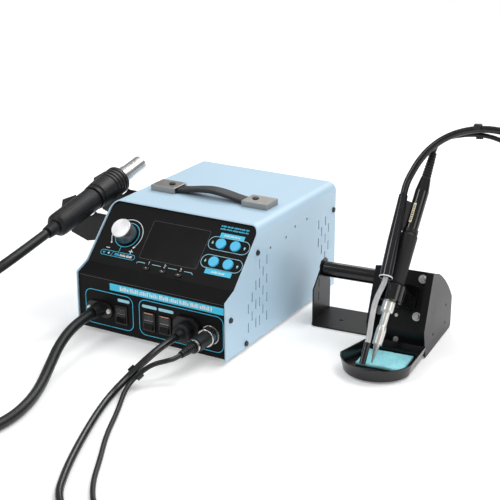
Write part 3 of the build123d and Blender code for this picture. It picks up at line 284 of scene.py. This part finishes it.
def bright_screws():
    """Makes the screws of the stand and of the hose gland bright steel, by where they are."""
    nodes, links = SCREW_BLACK.node_tree.nodes, SCREW_BLACK.node_tree.links
    shader = nodes["Principled BSDF"]
    coords = next(node for node in nodes if node.type == "TEX_COORD")
    split = nodes.new("ShaderNodeSeparateXYZ")
    links.new(coords.outputs["Object"], split.inputs["Vector"])
    right = nodes.new("ShaderNodeMath")
    right.operation = "GREATER_THAN"
    right.inputs[1].default_value = STAND_FROM_X
    links.new(split.outputs["X"], right.inputs[0])
    front = nodes.new("ShaderNodeMath")
    front.operation = "LESS_THAN"
    front.inputs[1].default_value = GLAND_TO_Y
    links.new(split.outputs["Y"], front.inputs[0])
    either = nodes.new("ShaderNodeMath")
    either.operation = "MAXIMUM"
    links.new(right.outputs["Value"], either.inputs[0])
    links.new(front.outputs["Value"], either.inputs[1])
    tint = nodes.new("ShaderNodeMix")
    tint.data_type = "RGBA"
    tint.inputs["B"].default_value = (0.75, 0.74, 0.72, 1)
    links.new(either.outputs["Value"], tint.inputs["Factor"])
    links.new(shader.inputs["Base Color"].links[0].from_socket, tint.inputs["A"])
    links.new(tint.outputs["Result"], shader.inputs["Base Color"])


bright_screws()


def dress(node, material):
    """Gives a CAD node one finish."""
    for place in node.material_slots:
        place.material = material


for name, material in FINISHES.items():
    dress(frame["nodes"][name], material)


# ---------------------------------------------------------------- mesh helpers

def mesh_object(name, bm, material, smooth=True):
    """A new object from a bmesh, with one finish."""
    bmesh.ops.recalc_face_normals(bm, faces=bm.faces)
    mesh = bpy.data.meshes.new(name)
    bm.to_mesh(mesh)
    bm.free()
    mesh.materials.append(material)
    for polygon in mesh.polygons:
        polygon.use_smooth = smooth
    piece = bpy.data.objects.new(name, mesh)
    bpy.context.collection.objects.link(piece)
    return piece


def bridge(bm, rings, closed_rows=False):
    """Faces between successive rings of vertices, capped at both ends unless the rows close."""
    pairs = list(zip(rings, rings[1:]))
    if closed_rows:
        pairs.append((rings[-1], rings[0]))
    for low, high in pairs:
        for i in range(len(low)):
            j = (i + 1) % len(low)
            bm.faces.new((low[i], low[j], high[j], high[i]))
    if not closed_rows:
        bm.faces.new(list(reversed(rings[0])))
        bm.faces.new(rings[-1])


# ---------------------------------------------------------------- cords

# Routes in metres. The first point is where the cord leaves the unit, and the last is where it goes
# into the hot-air gun or the iron.
GUN_HOSE = [
    (-0.1146, -0.1326, 0.03), (-0.1146, -0.1606, 0.0286), (-0.109, -0.1956, 0.0205),
    (-0.097, -0.2286, 0.0105), (-0.083, -0.2606, 0.0056), (-0.071, -0.2926, 0.0056),
    (-0.065, -0.3266, 0.0056), (-0.07, -0.3626, 0.0056), (-0.088, -0.4086, 0.0056),
    (-0.126, -0.4526, 0.0056), (-0.182, -0.4786, 0.0056), (-0.242, -0.4686, 0.0056),
    (-0.288, -0.4306, 0.0056), (-0.304, -0.3766, 0.006), (-0.29, -0.3266, 0.01), (-0.26, -0.2886, 0.024),
    (-0.228, -0.2566, 0.048), (-0.202, -0.2206, 0.072), (-0.189, -0.1826, 0.087),
    (-0.185, -0.1466, 0.0963), (-0.185, -0.113, 0.1027),
]
IRON_CABLE = [
    (0.025, -0.1736, 0.03), (0.025, -0.1826, 0.03), (0.0204, -0.1911, 0.0297), (0.0126, -0.1961, 0.0276),
    (0.0046, -0.1976, 0.0232), (-0.0024, -0.1986, 0.0174), (-0.008, -0.2036, 0.0116),
    (-0.01, -0.2136, 0.0068), (-0.007, -0.2266, 0.0036), (0, -0.2416, 0.0026), (0.011, -0.2646, 0.0026),
    (0.028, -0.3046, 0.0026), (0.048, -0.3406, 0.0026), (0.068, -0.3796, 0.0026),
    (0.092, -0.4096, 0.0026), (0.13, -0.4186, 0.0026), (0.176, -0.4036, 0.0026), (0.227, -0.3786, 0.0026),
    (0.278, -0.3476, 0.0026), (0.327, -0.3126, 0.0026), (0.369, -0.2736, 0.0026),
    (0.395, -0.2266, 0.0026), (0.402, -0.1766, 0.0026), (0.394, -0.1266, 0.0026), (0.38, -0.0806, 0.0045),
    (0.367, -0.0406, 0.019), (0.355, -0.0096, 0.048), (0.343, 0.0154, 0.084), (0.33, 0.0374, 0.122),
    (0.3193, 0.0555, 0.1533), (0.304, 0.069, 0.182), (0.285, 0.077, 0.202), (0.265, 0.082, 0.2145),
    (0.248, 0.084, 0.22), (0.232, 0.0842, 0.222), (0.217, 0.0834, 0.2208), (0.2056, 0.082, 0.2183),
    (0.1955, 0.0795, 0.2156), (0.1882, 0.076, 0.2115), (0.1849, 0.0721, 0.2057), (0.1848, 0.0681, 0.2),
]
FUME_HOSE = [
    (-0.0035, -0.1396, 0.0295), (-0.0035, -0.1576, 0.0295), (-0.0063, -0.1766, 0.0255),
    (-0.012, -0.1946, 0.0168), (-0.017, -0.2116, 0.0078), (-0.0156, -0.2346, 0.0039),
    (-0.0075, -0.2636, 0.0039), (0.0035, -0.2951, 0.0039), (0.018, -0.3326, 0.0039),
    (0.036, -0.3746, 0.0039), (0.058, -0.4156, 0.0039), (0.097, -0.4396, 0.0039),
    (0.144, -0.4356, 0.0039), (0.194, -0.4136, 0.0039), (0.246, -0.3846, 0.0039),
    (0.298, -0.3511, 0.0039), (0.348, -0.3126, 0.0039), (0.39, -0.2686, 0.0039), (0.415, -0.2166, 0.0039),
    (0.418, -0.1606, 0.0039), (0.407, -0.1086, 0.0039), (0.392, -0.0656, 0.008), (0.378, -0.0276, 0.027),
    (0.365, 0.0034, 0.059), (0.352, 0.0284, 0.097), (0.339, 0.0494, 0.134), (0.3275, 0.068, 0.1667),
    (0.312, 0.0785, 0.193), (0.293, 0.083, 0.212), (0.2735, 0.084, 0.2235), (0.2555, 0.0825, 0.2288),
    (0.238, 0.08, 0.23), (0.2215, 0.0775, 0.2278), (0.2075, 0.074, 0.2234), (0.194, 0.068, 0.2162),
    (0.1835, 0.0615, 0.2065), (0.176, 0.054, 0.1955), (0.171, 0.0465, 0.183), (0.1678, 0.0384, 0.1709),
    (0.169, 0.0308, 0.1618),
]


def smooth_line(points, steps=10):
    """Points along the NURBS line that has the route's points as its control points."""
    data = bpy.data.curves.new("line", "CURVE")
    data.dimensions = "3D"
    data.resolution_u = steps
    spline = data.splines.new("NURBS")
    spline.points.add(len(points) - 1)
    for point, place in zip(spline.points, points):
        point.co = (*place, 1)
    spline.order_u = 3
    spline.use_endpoint_u = True
    holder = bpy.data.objects.new("line", data)
    bpy.context.collection.objects.link(holder)
    evaluated = holder.evaluated_get(bpy.context.evaluated_depsgraph_get())
    line = [vertex.co.copy() for vertex in bpy.data.meshes.new_from_object(evaluated).vertices]
    bpy.data.objects.remove(holder)
    return line


def tube(name, line, radius, material, sides=20):
    """A round tube along a line of points."""
    bm = bmesh.new()
    rings = []
    side = None
    for i, place in enumerate(line):
        ahead = (line[min(i + 1, len(line) - 1)] - line[max(i - 1, 0)]).normalized()
        side = side - ahead * side.dot(ahead) if side else ahead.orthogonal()
        side.normalize()
        over = ahead.cross(side)
        turns = [2 * math.pi * k / sides for k in range(sides)]
        ways = [math.cos(turn) * side + math.sin(turn) * over for turn in turns]
        rings.append([bm.verts.new(place + radius * way) for way in ways])
    bridge(bm, rings)
    return mesh_object(name, bm, material)


# name: (route, diameter, length, finish, slot, body that its far end rides on, where the bending
# starts and ends above the bench, CAD nodes that it stands for)
CORDS = {
    "gun_hose_line": (GUN_HOSE, 0.011, 0.897, HOSE_RUBBER, "black_rubber", "gun", (0.100, 0.034),
                      ["gun_hose"]),
    "iron_cable_line": (IRON_CABLE, 0.005, 1.208, CABLE, "black_rubber", "iron", (0.150, 0.040),
                        ["iron_cable", "iron_cable_lead"]),
    "fume_hose_line": (FUME_HOSE, 0.0075, 1.358, HOSE_SILICONE, "hose_silicone", "iron", (0.150, 0.040),
                       ["fume_hose", "fume_hose_lead"]),
}
LINES = {name: smooth_line(facts[0]) for name, facts in CORDS.items()}


def make_cords():
    """The three cords, as round tubes along their routes between the unit and the piece in the hand."""
    for name, (_, diameter, _, material, slot, body, heights, nodes) in CORDS.items():
        cord = tube(name, LINES[name], diameter / 2, material)
        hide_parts(*nodes)
        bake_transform(cord)


make_cords()


def clip(name, near, body):
    """A snap-in clip that holds the iron's cable beside the suction hose, at the point nearest to near."""
    def closest(line):
        spot = min(range(1, len(line) - 1), key=lambda i: (line[i] - near).length)
        return line[spot], (line[spot + 1] - line[spot - 1]).normalized()

    hose, hose_way = closest(LINES["fume_hose_line"])
    cable, cable_way = closest(LINES["iron_cable_line"])
    along = (hose_way + cable_way).normalized()
    across = cable - hose
    across = (across - along * across.dot(along)).normalized()
    out = across.cross(along)
    if out.dot(bpy.context.scene.camera.location - near) < 0:
        out.negate()
    middle = (hose + cable) / 2
    half = (cable - hose).dot(across) / 2

    wall, play, reach, long = 0.0017, 0.0001, 0.7, 0.0075
    hose_radius, cable_radius = CORDS["fume_hose_line"][1] / 2, CORDS["iron_cable_line"][1] / 2
    path = []
    for centre, radius, turns in ((-half, hose_radius, (math.pi - reach, 1.5 * math.pi)),
                                  (half, cable_radius, (1.5 * math.pi, 2 * math.pi + reach))):
        for k in range(13):
            turn = turns[0] + (turns[1] - turns[0]) * k / 12
            ends_wall = wall * (1.25 - 0.25 * math.cos(2 * turn))
            path.append([(centre + r * math.cos(turn), r * math.sin(turn))
                         for r in (radius + play, radius + play + ends_wall)])
    bm = bmesh.new()
    rows = []
    for inner, outer in path:
        corners = [(inner, -long / 2), (outer, -long / 2), (outer, long / 2), (inner, long / 2)]
        rows.append([bm.verts.new(middle + across * p[0] + out * p[1] + along * s) for p, s in corners])
    bridge(bm, rows)
    piece = mesh_object(name, bm, BLACK_PLASTIC, smooth=False)
    bevel = piece.modifiers.new("soft_edges", "BEVEL")
    bevel.width, bevel.segments = 0.0004, 2
    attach(piece, body)
    return piece


def declare_cords():
    """The two clips that hold the iron's cable beside the suction hose, one near the unit and one near the
    iron.
    """
    clips = [clip("front_clip", Vector((-0.0095, -0.2005, 0.014)), "root"),
             clip("top_clip", Vector((0.228, 0.081, 0.225)), "iron")]


declare_cords()

# ---------------------------------------------------------------- printing

low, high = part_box("cover")
UNIT_X = (low.x + high.x) / 2
PANEL_Y = JOINTS["iron_rocker_tilt"]["pos_m"][1] - 0.2 * MM
FACE_UP, FACE_OUT = Vector((0, 1, 1)).normalized(), Vector((0, -1, 1)).normalized()
KNOB_AT = (-58, 38)
CHANNEL_TOP = 1.4              # mm that the channel buttons stand off the display face
LAMP_TOP = 1.6                 # mm that the switch lamps stand off the upright front


def on_face(x, up, lift):
    """A point of the display face: mm across from its middle, up the slope and off it."""
    return KNOB_PLACE + MM * ((x - KNOB_AT[0]) * X + (up - KNOB_AT[1]) * FACE_UP + lift * FACE_OUT)


def on_front(x, z, lift):
    """A point of the upright front: mm across from its middle, above the bench and off the panel."""
    return Vector((UNIT_X + x * MM, PANEL_Y - lift * MM, z * MM))


def arc(x, y, radius, start, end, steps=28):
    """Points of an arc, from one angle to another in degrees."""
    turns = [math.radians(start + (end - start) * i / steps) for i in range(steps + 1)]
    return [(x + radius * math.cos(turn), y + radius * math.sin(turn)) for turn in turns]


def rounded(left, right, bottom, top, radius):
    """The outline of a rectangle with round corners."""
    corners = ((right, top, 0), (left, top, 90), (left, bottom, 180), (right, bottom, 270))
    outline = []
    for x, y, turn in corners:
        inside_x = x - radius if x == right else x + radius
        inside_y = y - radius if y == top else y + radius
        outline += arc(inside_x, inside_y, radius, turn, turn + 90, 8)
    return outline


def stroke(points, width, closed=False):
    """A line of that width along the points, as corner points and faces."""
    points = [Vector(point) for point in points]
    count = len(points) if closed else len(points) - 1
    spans = [(points[(i + 1) % len(points)] - points[i]).normalized() for i in range(count)]
    corners = []
    for i, point in enumerate(points):
        before = spans[i - 1] if closed or i else spans[0]
        after = spans[i] if i < count else spans[-1]
        ahead = (before + after).normalized()
        side = Vector((-ahead.y, ahead.x)) * (width / 2 / max(0.5, ahead.dot(after)))
        corners += [point + side, point - side]
    faces = []
    for i in range(count):
        j = (i + 1) % len(points)
        faces.append((2 * i, 2 * i + 1, 2 * j + 1, 2 * j))
    return corners, faces


def fill(points):
    """A filled outline."""
    return points, [tuple(range(len(points)))]


def bar(left, right, bottom, top, lean=0):
    """A filled rectangle, or a slanted one where its top stands lean further right."""
    return fill([(left, bottom), (right, bottom), (right + lean, top), (left + lean, top)])


def printed(name, place, shapes, material, body="root", thick=0.09):
    """Printing: flat shapes that stand a little off the surface that place gives."""
    bm = bmesh.new()
    for points, faces in shapes:
        low = [bm.verts.new(place(*point, -0.02)) for point in points]
        high = [bm.verts.new(place(*point, thick)) for point in points]
        edges = [edge for face in faces for edge in zip(face, face[1:] + face[:1])]
        for face in faces:
            bm.faces.new([high[i] for i in face])
            bm.faces.new([low[i] for i in reversed(face)])
        for a, b in edges:
            if (b, a) not in edges:
                bm.faces.new((low[a], low[b], high[b], high[a]))
    piece = mesh_object(name, bm, material, smooth=False)
    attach(piece, body)


def arrow(x, y, turn, size):
    """An arrow that points at turn degrees, with its middle at (x, y)."""
    outline = [(-1, -0.35), (0, -0.35), (0, -0.9), (1, 0), (0, 0.9), (0, 0.35), (-1, 0.35)]
    ahead = Vector((math.cos(math.radians(turn)), math.sin(math.radians(turn))))
    side = Vector((-ahead.y, ahead.x))
    return fill([tuple(Vector((x, y)) + size * (a * ahead + b * side)) for a, b in outline])


def text_like(left, right, bottom, top, widths=(1.4, 0.9, 1.1, 0.7), gap=0.45, lean=0.3):
    """A row of plain upright bars that stands where small wording would be, and says nothing."""
    bars = []
    x, i = left, 0
    while x + widths[i % len(widths)] <= right:
        wide = widths[i % len(widths)]
        drop = (top - bottom) * (0.28 if i % 3 == 1 else 0)
        bars.append(bar(x, x + wide, bottom, top - drop, lean))
        x += wide + gap * (2.6 if i % 5 == 4 else 1)
        i += 1
    return bars


DIGITS = {
    1: [[(-0.45, 0.55), (0, 1), (0, -1)]],
    2: [arc(0, 0.45, 0.55, 160, -40, 8) + [(-0.55, -1), (0.6, -1)]],
    3: [arc(0, 0.5, 0.5, 150, -90, 8), arc(0, -0.5, 0.5, 90, -150, 8)],
}


def digit(number, x, y, size):
    """A numeral made of strokes."""
    return [stroke([(x + size * a, y + size * b) for a, b in line], 0.3 * size) for line in DIGITS[number]]


def print_knob_scale():
    """The ring and the arrows round the airflow knob, and the row of symbols under it."""
    x, up = KNOB_AT
    ring = stroke(arc(x, up, 14.5, 0, 360 - 360 / 48, 47), 0.75, closed=True)
    row = stroke(rounded(-81.4, -37.5, 10.6, 16.4, 2.6), 0.55, closed=True)
    divider = stroke([(-67.8, 10.9), (-65.6, 16.2)], 0.5)
    tail = stroke([(x - 1.2, up - 14.6), (x - 1.8, 16.5)], 0.6)
    fan = [fill(arc(-77.3, 13.5, 1.5, turn, turn + 70, 5) + [(-77.3, 13.5)]) for turn in (0, 120, 240)]
    flake = [bar(-63.2 + 1.5 * i, -62.3 + 1.5 * i, 12, 15) for i in range(4)]
    printed("knob_scale_blue", on_face, [ring, row, divider, tail, *fan, *flake], PRINT_BLUE)
    sweep = stroke(arc(x, up, 18.7, 212, -38, 60), 0.75)
    turns = ((216, 292), (-42, 214))          # where each arrowhead is, and where it points
    heads = [arrow(*arc(x, up, 19.2, at, at)[0], way, 1.7) for at, way in turns]
    minus = stroke([(-77.2, 19.6), (-72.4, 19.6)], 0.9)
    plus = [stroke([(-47.6, 19.9), (-42.4, 19.9)], 0.9), stroke([(-45, 17.4), (-45, 22.4)], 0.9)]
    diamond = fill([(-72.6, 13.5), (-71.1, 12), (-69.6, 13.5), (-71.1, 15)])
    marks = [diamond, *text_like(-56.6, -40.5, 12.2, 14.9)]
    printed("knob_scale_white", on_face, [sweep, *heads, minus, *plus, *marks], PRINT_WHITE)


def print_display():
    """The line round the window, the channel numbers and their bracket."""
    edge = stroke(rounded(-32.6, 39.4, 15.2, 60.8, 2.2), 0.3, closed=True)
    printed("window_line", on_face, [edge], PRINT_GREY)
    level = 10.4
    curls = [stroke(arc(-30.2, level - 2.2, 2.2, 180, 90, 10) + [(-22, level)], 0.6),
             stroke([(27, level)] + arc(35.6, level - 2.2, 2.2, 90, 0, 10), 0.6)]
    links = [stroke([(-13.2, level), (-2, level)], 0.6), stroke([(7, level), (18, level)], 0.6)]
    printed("channel_bracket", on_face, curls + links, PRINT_PALE)
    numbers = []
    for number, x in enumerate((-17.5, 2.4, 22.3), 1):
        numbers += digit(number, x, level + 1, 1.7)
    printed("channel_numbers", on_face, numbers, PRINT_WHITE)
    for number, x in enumerate((-18, 2, 22.3), 1):
        mark = stroke([(x - 1.1, 5.2), (x + 1.1, 4.7)], 0.5)
        printed(f"channel_mark_{number}", lambda a, b, c: on_face(a, b, c + CHANNEL_TOP), [mark], PRINT_WHITE,
                body=f"channel_button_{number}")


def print_temperature():
    """The outlines, arrows and label boxes round the four temperature buttons."""
    lines, arrows = [], []
    for up in (48.8, 27.4):
        lines.append(stroke(rounded(41, 90.1, up - 7.5, up + 7.5, 7.4), 0.6, closed=True))
        arrows += [arrow(45.8, up, 270, 1.7), arrow(84.5, up, 90, 1.7)]
    printed("temperature_lines", on_face, lines, PRINT_PALE)
    printed("temperature_arrows", on_face, arrows, PRINT_MINT)
    boxes = [bar(51.3, 80.4, 56.5, 61.7), bar(50.1, 81.7, 13.4, 19.2)]
    wording = text_like(48.4, 83, 68.4, 70.2, (1.1, 0.7, 0.9))
    wording += text_like(48.4, 83, 65.2, 67, (0.8, 1.2, 0.7))
    printed("temperature_boxes", on_face, boxes + wording, PRINT_BLUE, thick=0.11)
    pale = text_like(56, 76, 58.1, 59.9, (1.3, 0.8, 1)) + text_like(58, 74, 15.2, 17.2, (1.3, 0.8, 1))
    printed("temperature_bars", on_face, pale, PRINT_WHITE, thick=0.15)


def print_front():
    """The frames, the banner and the switch labels on the upright front."""
    frames = [stroke(rounded(-83.6, -22, 11.6, 50.6, 8), 0.75, closed=True),
              stroke(rounded(-13.7, 89.8, 11.6, 51.5, 8), 0.75, closed=True)]
    banner = fill(rounded(-51, 90.5, 54.2, 62, 0.8))
    printed("front_frames", on_front, frames, PRINT_BLUE)
    printed("front_banner", on_front, [banner], PRINT_BLUE, thick=0.11)
    printed("front_bars", on_front, text_like(-38, 78, 56, 60.4, (2.1, 1.4, 1.7, 1.1), 0.7, 0), PRINT_WHITE,
            thick=0.15)
    spans = ((-41.5, -26), (-10, 8.6), (10.6, 29.4))
    pills = [fill(rounded(left, right, 42.9, 46.3, 1.6)) for left, right in spans]
    printed("switch_labels", on_front, pills, PRINT_PALE)
    lip = stroke([(-91.5, 65.2), (91.5, 65.2)], 0.35)
    printed("front_lip_line", on_front, [lip], PRINT_GREY)


def print_rockers():
    """The on and off marks on the rockers, and the amber lamp bars over two of them."""
    tilt = math.radians(8)
    for name in ("hot_air", "iron", "fume"):
        pivot = Vector(JOINTS[name + "_rocker_tilt"]["pos_m"])

        def on_rocker(x, along, lift, half):
            """A point of one half of the rocker's face: the two halves meet in a shallow valley."""
            slope = math.atan2(1.5, 8) * half
            forward = 1.7 + along * half * math.sin(slope) + lift * math.cos(slope)
            above = along * math.cos(slope) - lift * math.sin(slope)
            return pivot + MM * Vector((x, -forward * math.cos(tilt) + above * math.sin(tilt),
                                        above * math.cos(tilt) + forward * math.sin(tilt)))

        printed(name + "_on_mark", lambda a, b, c: on_rocker(a, b, c, 1), [stroke([(0, 3.2), (0, 6)], 0.55)],
                PRINT_GREY, body=name + "_rocker")
        off_ring = stroke(arc(0, -4.4, 1.25, 0, 345, 23), 0.5, closed=True)
        printed(name + "_off_mark", lambda a, b, c: on_rocker(a, b, c, -1), [off_ring], PRINT_WHITE,
                body=name + "_rocker")
    lamps = [bar(x - 5.4, x + 5.4, 37.1, 38.2) for x in (-1, 19)]
    printed("switch_lamps", lambda a, b, c: on_front(a, b, c + LAMP_TOP), lamps, LAMP_TINT, thick=0.2)


print_knob_scale()
print_display()
print_temperature()
print_front()
print_rockers()

# ---------------------------------------------------------------- handle strap

STRAP_HALF_LONG, STRAP_HALF_WIDE = 0.063, 0.0085
STRAP_ARCH_HALF, STRAP_ARCH = 0.050, 0.0054      # the arch's half length and its height
STRAP_LOW = 0.0022                               # the middle of its thickness, at its ends
STRAP_THICK, STRAP_EXTRA = 0.00215, 0.0004       # half its thickness, and what the arch adds
SEAM = 0.0061                                    # from its middle line to each stitched groove


def strap_section(x):
    """The height of the strap's middle over its base, and half its thickness, at x along it."""
    rise = 0.5 + 0.5 * math.cos(math.pi * min(1, abs(x) / STRAP_ARCH_HALF))
    return STRAP_LOW + STRAP_ARCH * rise, STRAP_THICK + STRAP_EXTRA * rise


def make_strap():
    """The carrying strap: a grained vinyl moulding, thicker in the arch and with a stitched groove."""
    low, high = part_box("handle_strap")
    middle_y, base = (low.y + high.y) / 2, low.z
    bm = bmesh.new()
    rows = []
    lengths, sides = 96, 40
    for i in range(lengths + 1):
        x = -STRAP_HALF_LONG + 2 * STRAP_HALF_LONG * i / lengths
        height, thick = strap_section(x)
        row = []
        for k in range(sides):
            turn = 2 * math.pi * k / sides
            c, s = math.cos(turn), math.sin(turn)
            across = STRAP_HALF_WIDE * math.copysign(abs(c) ** 0.35, c)
            up = thick * math.copysign(abs(s) ** 0.55, s)
            groove = 0.00035 * math.exp(-((abs(across) - SEAM) / 0.0006) ** 2) if s > 0 else 0
            row.append(bm.verts.new((UNIT_X + x, middle_y + across, base + height + up - groove)))
        rows.append(row)
    bridge(bm, rows)
    strap = mesh_object("carry_strap", bm, STRAP_VINYL)
    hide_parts("handle_strap")
    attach(strap, "root")

    stitches = bmesh.new()
    for side in (-1, 1):
        for i in range(30):
            x = -0.0435 + 0.003 * i
            height, thick = strap_section(x)
            lean = -STRAP_ARCH * 0.5 * math.pi / STRAP_ARCH_HALF * math.sin(math.pi * x / STRAP_ARCH_HALF)
            place = Matrix.Translation((UNIT_X + x, middle_y + side * SEAM, base + height + thick - 0.00022))
            turn = Matrix.Rotation(-math.atan(lean), 4, "Y")
            size = Matrix.Diagonal((0.001, 0.0003, 0.0002, 1))
            bmesh.ops.create_uvsphere(stitches, u_segments=8, v_segments=6, radius=1,
                                      matrix=place @ turn @ size)
    thread = mesh_object("strap_stitches", stitches, STITCH)
    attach(thread, "root")


make_strap()

# ---------------------------------------------------------------- stand, sponge and iron details

STAND_X = Vector(JOINTS["reel_roller_spin"]["axis"])
STAND_Y = Z.cross(STAND_X)
IRON_UP = Vector(JOINTS["iron_draw"]["axis"])
IRON_X = (STAND_X - IRON_UP * STAND_X.dot(IRON_UP)).normalized()
IRON_Y = IRON_UP.cross(IRON_X)
low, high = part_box("heater_element")
HEATER_MIDDLE = 52.5           # mm up the iron's axis from its tip
IRON_TIP = (low + high) / 2 - HEATER_MIDDLE * MM * IRON_UP
SLEEVE_LOW, SLEEVE_HIGH = Vector((-5.9, -16.3, 85)), Vector((-15.6, -7.7, 175))    # mm, in the iron's frame


def on_iron(x, y, along):
    """A point of the iron's own frame: mm across, mm to the back and mm up its axis from the tip."""
    return IRON_TIP + MM * (x * IRON_X + y * IRON_Y + along * IRON_UP)


def make_sponge():
    """The cleaning sponge: open foam with soft edges and an uneven, porous top."""
    low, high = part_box("sponge")
    middle = (low + high) / 2
    half_x, half_y, tall = 0.0249, 0.0189, high.z - low.z
    nx, ny = 110, 84
    bm = bmesh.new()

    def point(i, j, top):
        u, v = 2 * i / nx - 1, 2 * j / ny - 1
        edge = max(abs(u) ** 14, abs(v) ** 14)
        place = middle + STAND_X * (u * half_x) + STAND_Y * (v * half_y)
        spot = place * 260
        pores = max(0, noise.noise(spot) - 0.12) * 0.0011 + max(0, noise.noise(spot * 2.3) - 0.1) * 0.0006
        swell = 0.0003 * noise.noise(place * 60)
        z = low.z + 0.0001 + (tall * (1 - 0.3 * edge) - pores + swell if top else tall * 0.12 * edge)
        pull = 0.988 if top else 1
        return Vector((middle.x + (place.x - middle.x) * pull, middle.y + (place.y - middle.y) * pull,
                       min(z, high.z + 0.0004)))

    top = [[bm.verts.new(point(i, j, True)) for j in range(ny + 1)] for i in range(nx + 1)]
    under = [[bm.verts.new(point(i, j, False)) for j in range(ny + 1)] for i in range(nx + 1)]
    for i in range(nx):
        for j in range(ny):
            bm.faces.new((top[i][j], top[i + 1][j], top[i + 1][j + 1], top[i][j + 1]))
            bm.faces.new((under[i][j], under[i][j + 1], under[i + 1][j + 1], under[i + 1][j]))
    rim = ([(i, 0) for i in range(nx)] + [(nx, j) for j in range(ny)] + [(i, ny) for i in range(nx, 0, -1)]
           + [(0, j) for j in range(ny, 0, -1)])
    for (a, b), (c, d) in zip(rim, rim[1:] + rim[:1]):
        bm.faces.new((top[a][b], under[a][b], under[c][d], top[c][d]))
    sponge = mesh_object("cleaning_sponge", bm, SPONGE_FOAM)
    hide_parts("sponge")
    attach(sponge, "root")


def make_iron_label():
    """A cream strip with dark bars along the handle, on the side that faces the front left."""
    radius, middle = 7.3, math.radians(-98)

    def on_handle(x, along, lift):
        turn = middle + x / radius
        return on_iron((radius + lift) * math.cos(turn), (radius + lift) * math.sin(turn), along)

    cells = []
    for i in range(20):
        first = 149 + 1.05 * i
        for k in range(6):
            left = -1.5 + 0.5 * k
            cells.append(bar(left, left + 0.5, first, first + 1.05))
    printed("iron_label", on_handle, cells, LABEL_CREAM, body="iron", thick=0.1)
    bars = []
    for i in range(8):
        first = 151 + 2.25 * i
        bars.append(bar(-0.85, 0.85, first, first + (1.5, 1.1, 1.3)[i % 3]))
    printed("iron_label_bars", on_handle, bars, LABEL_INK, body="iron", thick=0.16)


def ring(name, centre, axis, inner, outer, long, material, body, slot):
    """A plain turned ring with eased edges, mm."""
    side = axis.orthogonal().normalized()
    over = axis.cross(side)
    ease = min(0.25, long / 4, (outer - inner) / 3)
    profile = [(inner, 0), (outer - ease, 0), (outer, ease), (outer, long - ease), (outer - ease, long),
               (inner, long)]
    bm = bmesh.new()
    rows = []
    for k in range(48):
        turn = 2 * math.pi * k / 48
        way = math.cos(turn) * side + math.sin(turn) * over
        rows.append([bm.verts.new(centre + MM * (radius * way + along * axis)) for radius, along in profile])
    bridge(bm, rows, closed_rows=True)
    piece = mesh_object(name, bm, material, smooth=False)
    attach(piece, body)
    return piece


def make_rings():
    """The pale rim at the suction sleeve's open end, and the bright band on the iron's plug."""
    way = SLEEVE_HIGH - SLEEVE_LOW
    axis = (way.x * IRON_X + way.y * IRON_Y + way.z * IRON_UP).normalized()
    ring("sleeve_rim", on_iron(*SLEEVE_LOW) - axis * 0.3 * MM, axis, 6.62, 7.0, 1.3, CLEAR_RIM, "iron",
         "clear_silicone")
    low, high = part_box("iron_plug")
    centre = Vector(((low.x + high.x) / 2, PANEL_Y - 32.2 * MM, (low.z + high.z) / 2))
    ring("plug_band", centre, -Y, 7.02, 7.3, 2.6, NICKEL, "root", "nickel")


make_sponge()
make_iron_label()
make_rings()

# ---------------------------------------------------------------- floor and light

def make_floor():
    """A pale floor, wide enough to fill the view."""
    material, _, shader = node_tree("studio_floor")
    shader.inputs["Base Color"].default_value = (0.93, 0.93, 0.93, 1)
    shader.inputs["Roughness"].default_value = 0.9
    shader.inputs["Specular IOR Level"].default_value = 0.1
    shader.inputs["Emission Color"].default_value = (1, 1, 1, 1)
    shader.inputs["Emission Strength"].default_value = 0.22
    bm = bmesh.new()
    bmesh.ops.create_grid(bm, x_segments=2, y_segments=2, size=12)
    floor = mesh_object("floor", bm, material, smooth=False)
    floor.location = (0, 0, -0.0004)


def softbox(name, place, target, size, power):
    """A rectangular area light that faces a point."""
    data = bpy.data.lights.new(name, "AREA")
    data.shape = "RECTANGLE"
    data.size, data.size_y = size
    data.energy = power
    light = bpy.data.objects.new(name, data)
    light.location = place
    light.rotation_euler = (Vector(target) - Vector(place)).to_track_quat("-Z", "Y").to_euler()
    bpy.context.collection.objects.link(light)


def make_light():
    """White surroundings, brighter overhead, a soft sun for shadows and three softboxes for highlights."""
    world = bpy.data.worlds.new("studio")
    bpy.context.scene.world = world
    world.use_nodes = True
    nodes, links = world.node_tree.nodes, world.node_tree.links
    coords = nodes.new("ShaderNodeTexCoord")
    split = nodes.new("ShaderNodeSeparateXYZ")
    rise = nodes.new("ShaderNodeMapRange")
    rise.inputs["From Min"].default_value, rise.inputs["From Max"].default_value = 0.15, 0.9
    rise.inputs["To Min"].default_value, rise.inputs["To Max"].default_value = 0.28, 0.5
    links.new(coords.outputs["Generated"], split.inputs["Vector"])
    links.new(split.outputs["Z"], rise.inputs["Value"])
    links.new(rise.outputs["Result"], nodes["Background"].inputs["Strength"])
    nodes["Background"].inputs["Color"].default_value = (1, 1, 1, 1)
    data = bpy.data.lights.new("sun", "SUN")
    data.energy, data.angle = 1.5, math.radians(40)
    sun = bpy.data.objects.new("sun", data)
    sun.rotation_euler = (math.radians(-22), math.radians(24), 0)
    bpy.context.collection.objects.link(sun)
    softbox("key", (-0.75, -0.95, 1.25), (0, 0, 0.05), (0.35, 0.9), 7)
    softbox("side", (1.5, -0.25, 0.7), (0, 0, 0.05), (0.5, 0.8), 3)
    softbox("back", (-0.2, 1.3, 1.1), (0, 0, 0.1), (1.2, 0.3), 7)


make_floor()
make_light()
bpy.context.scene.view_settings.view_transform = "Standard"
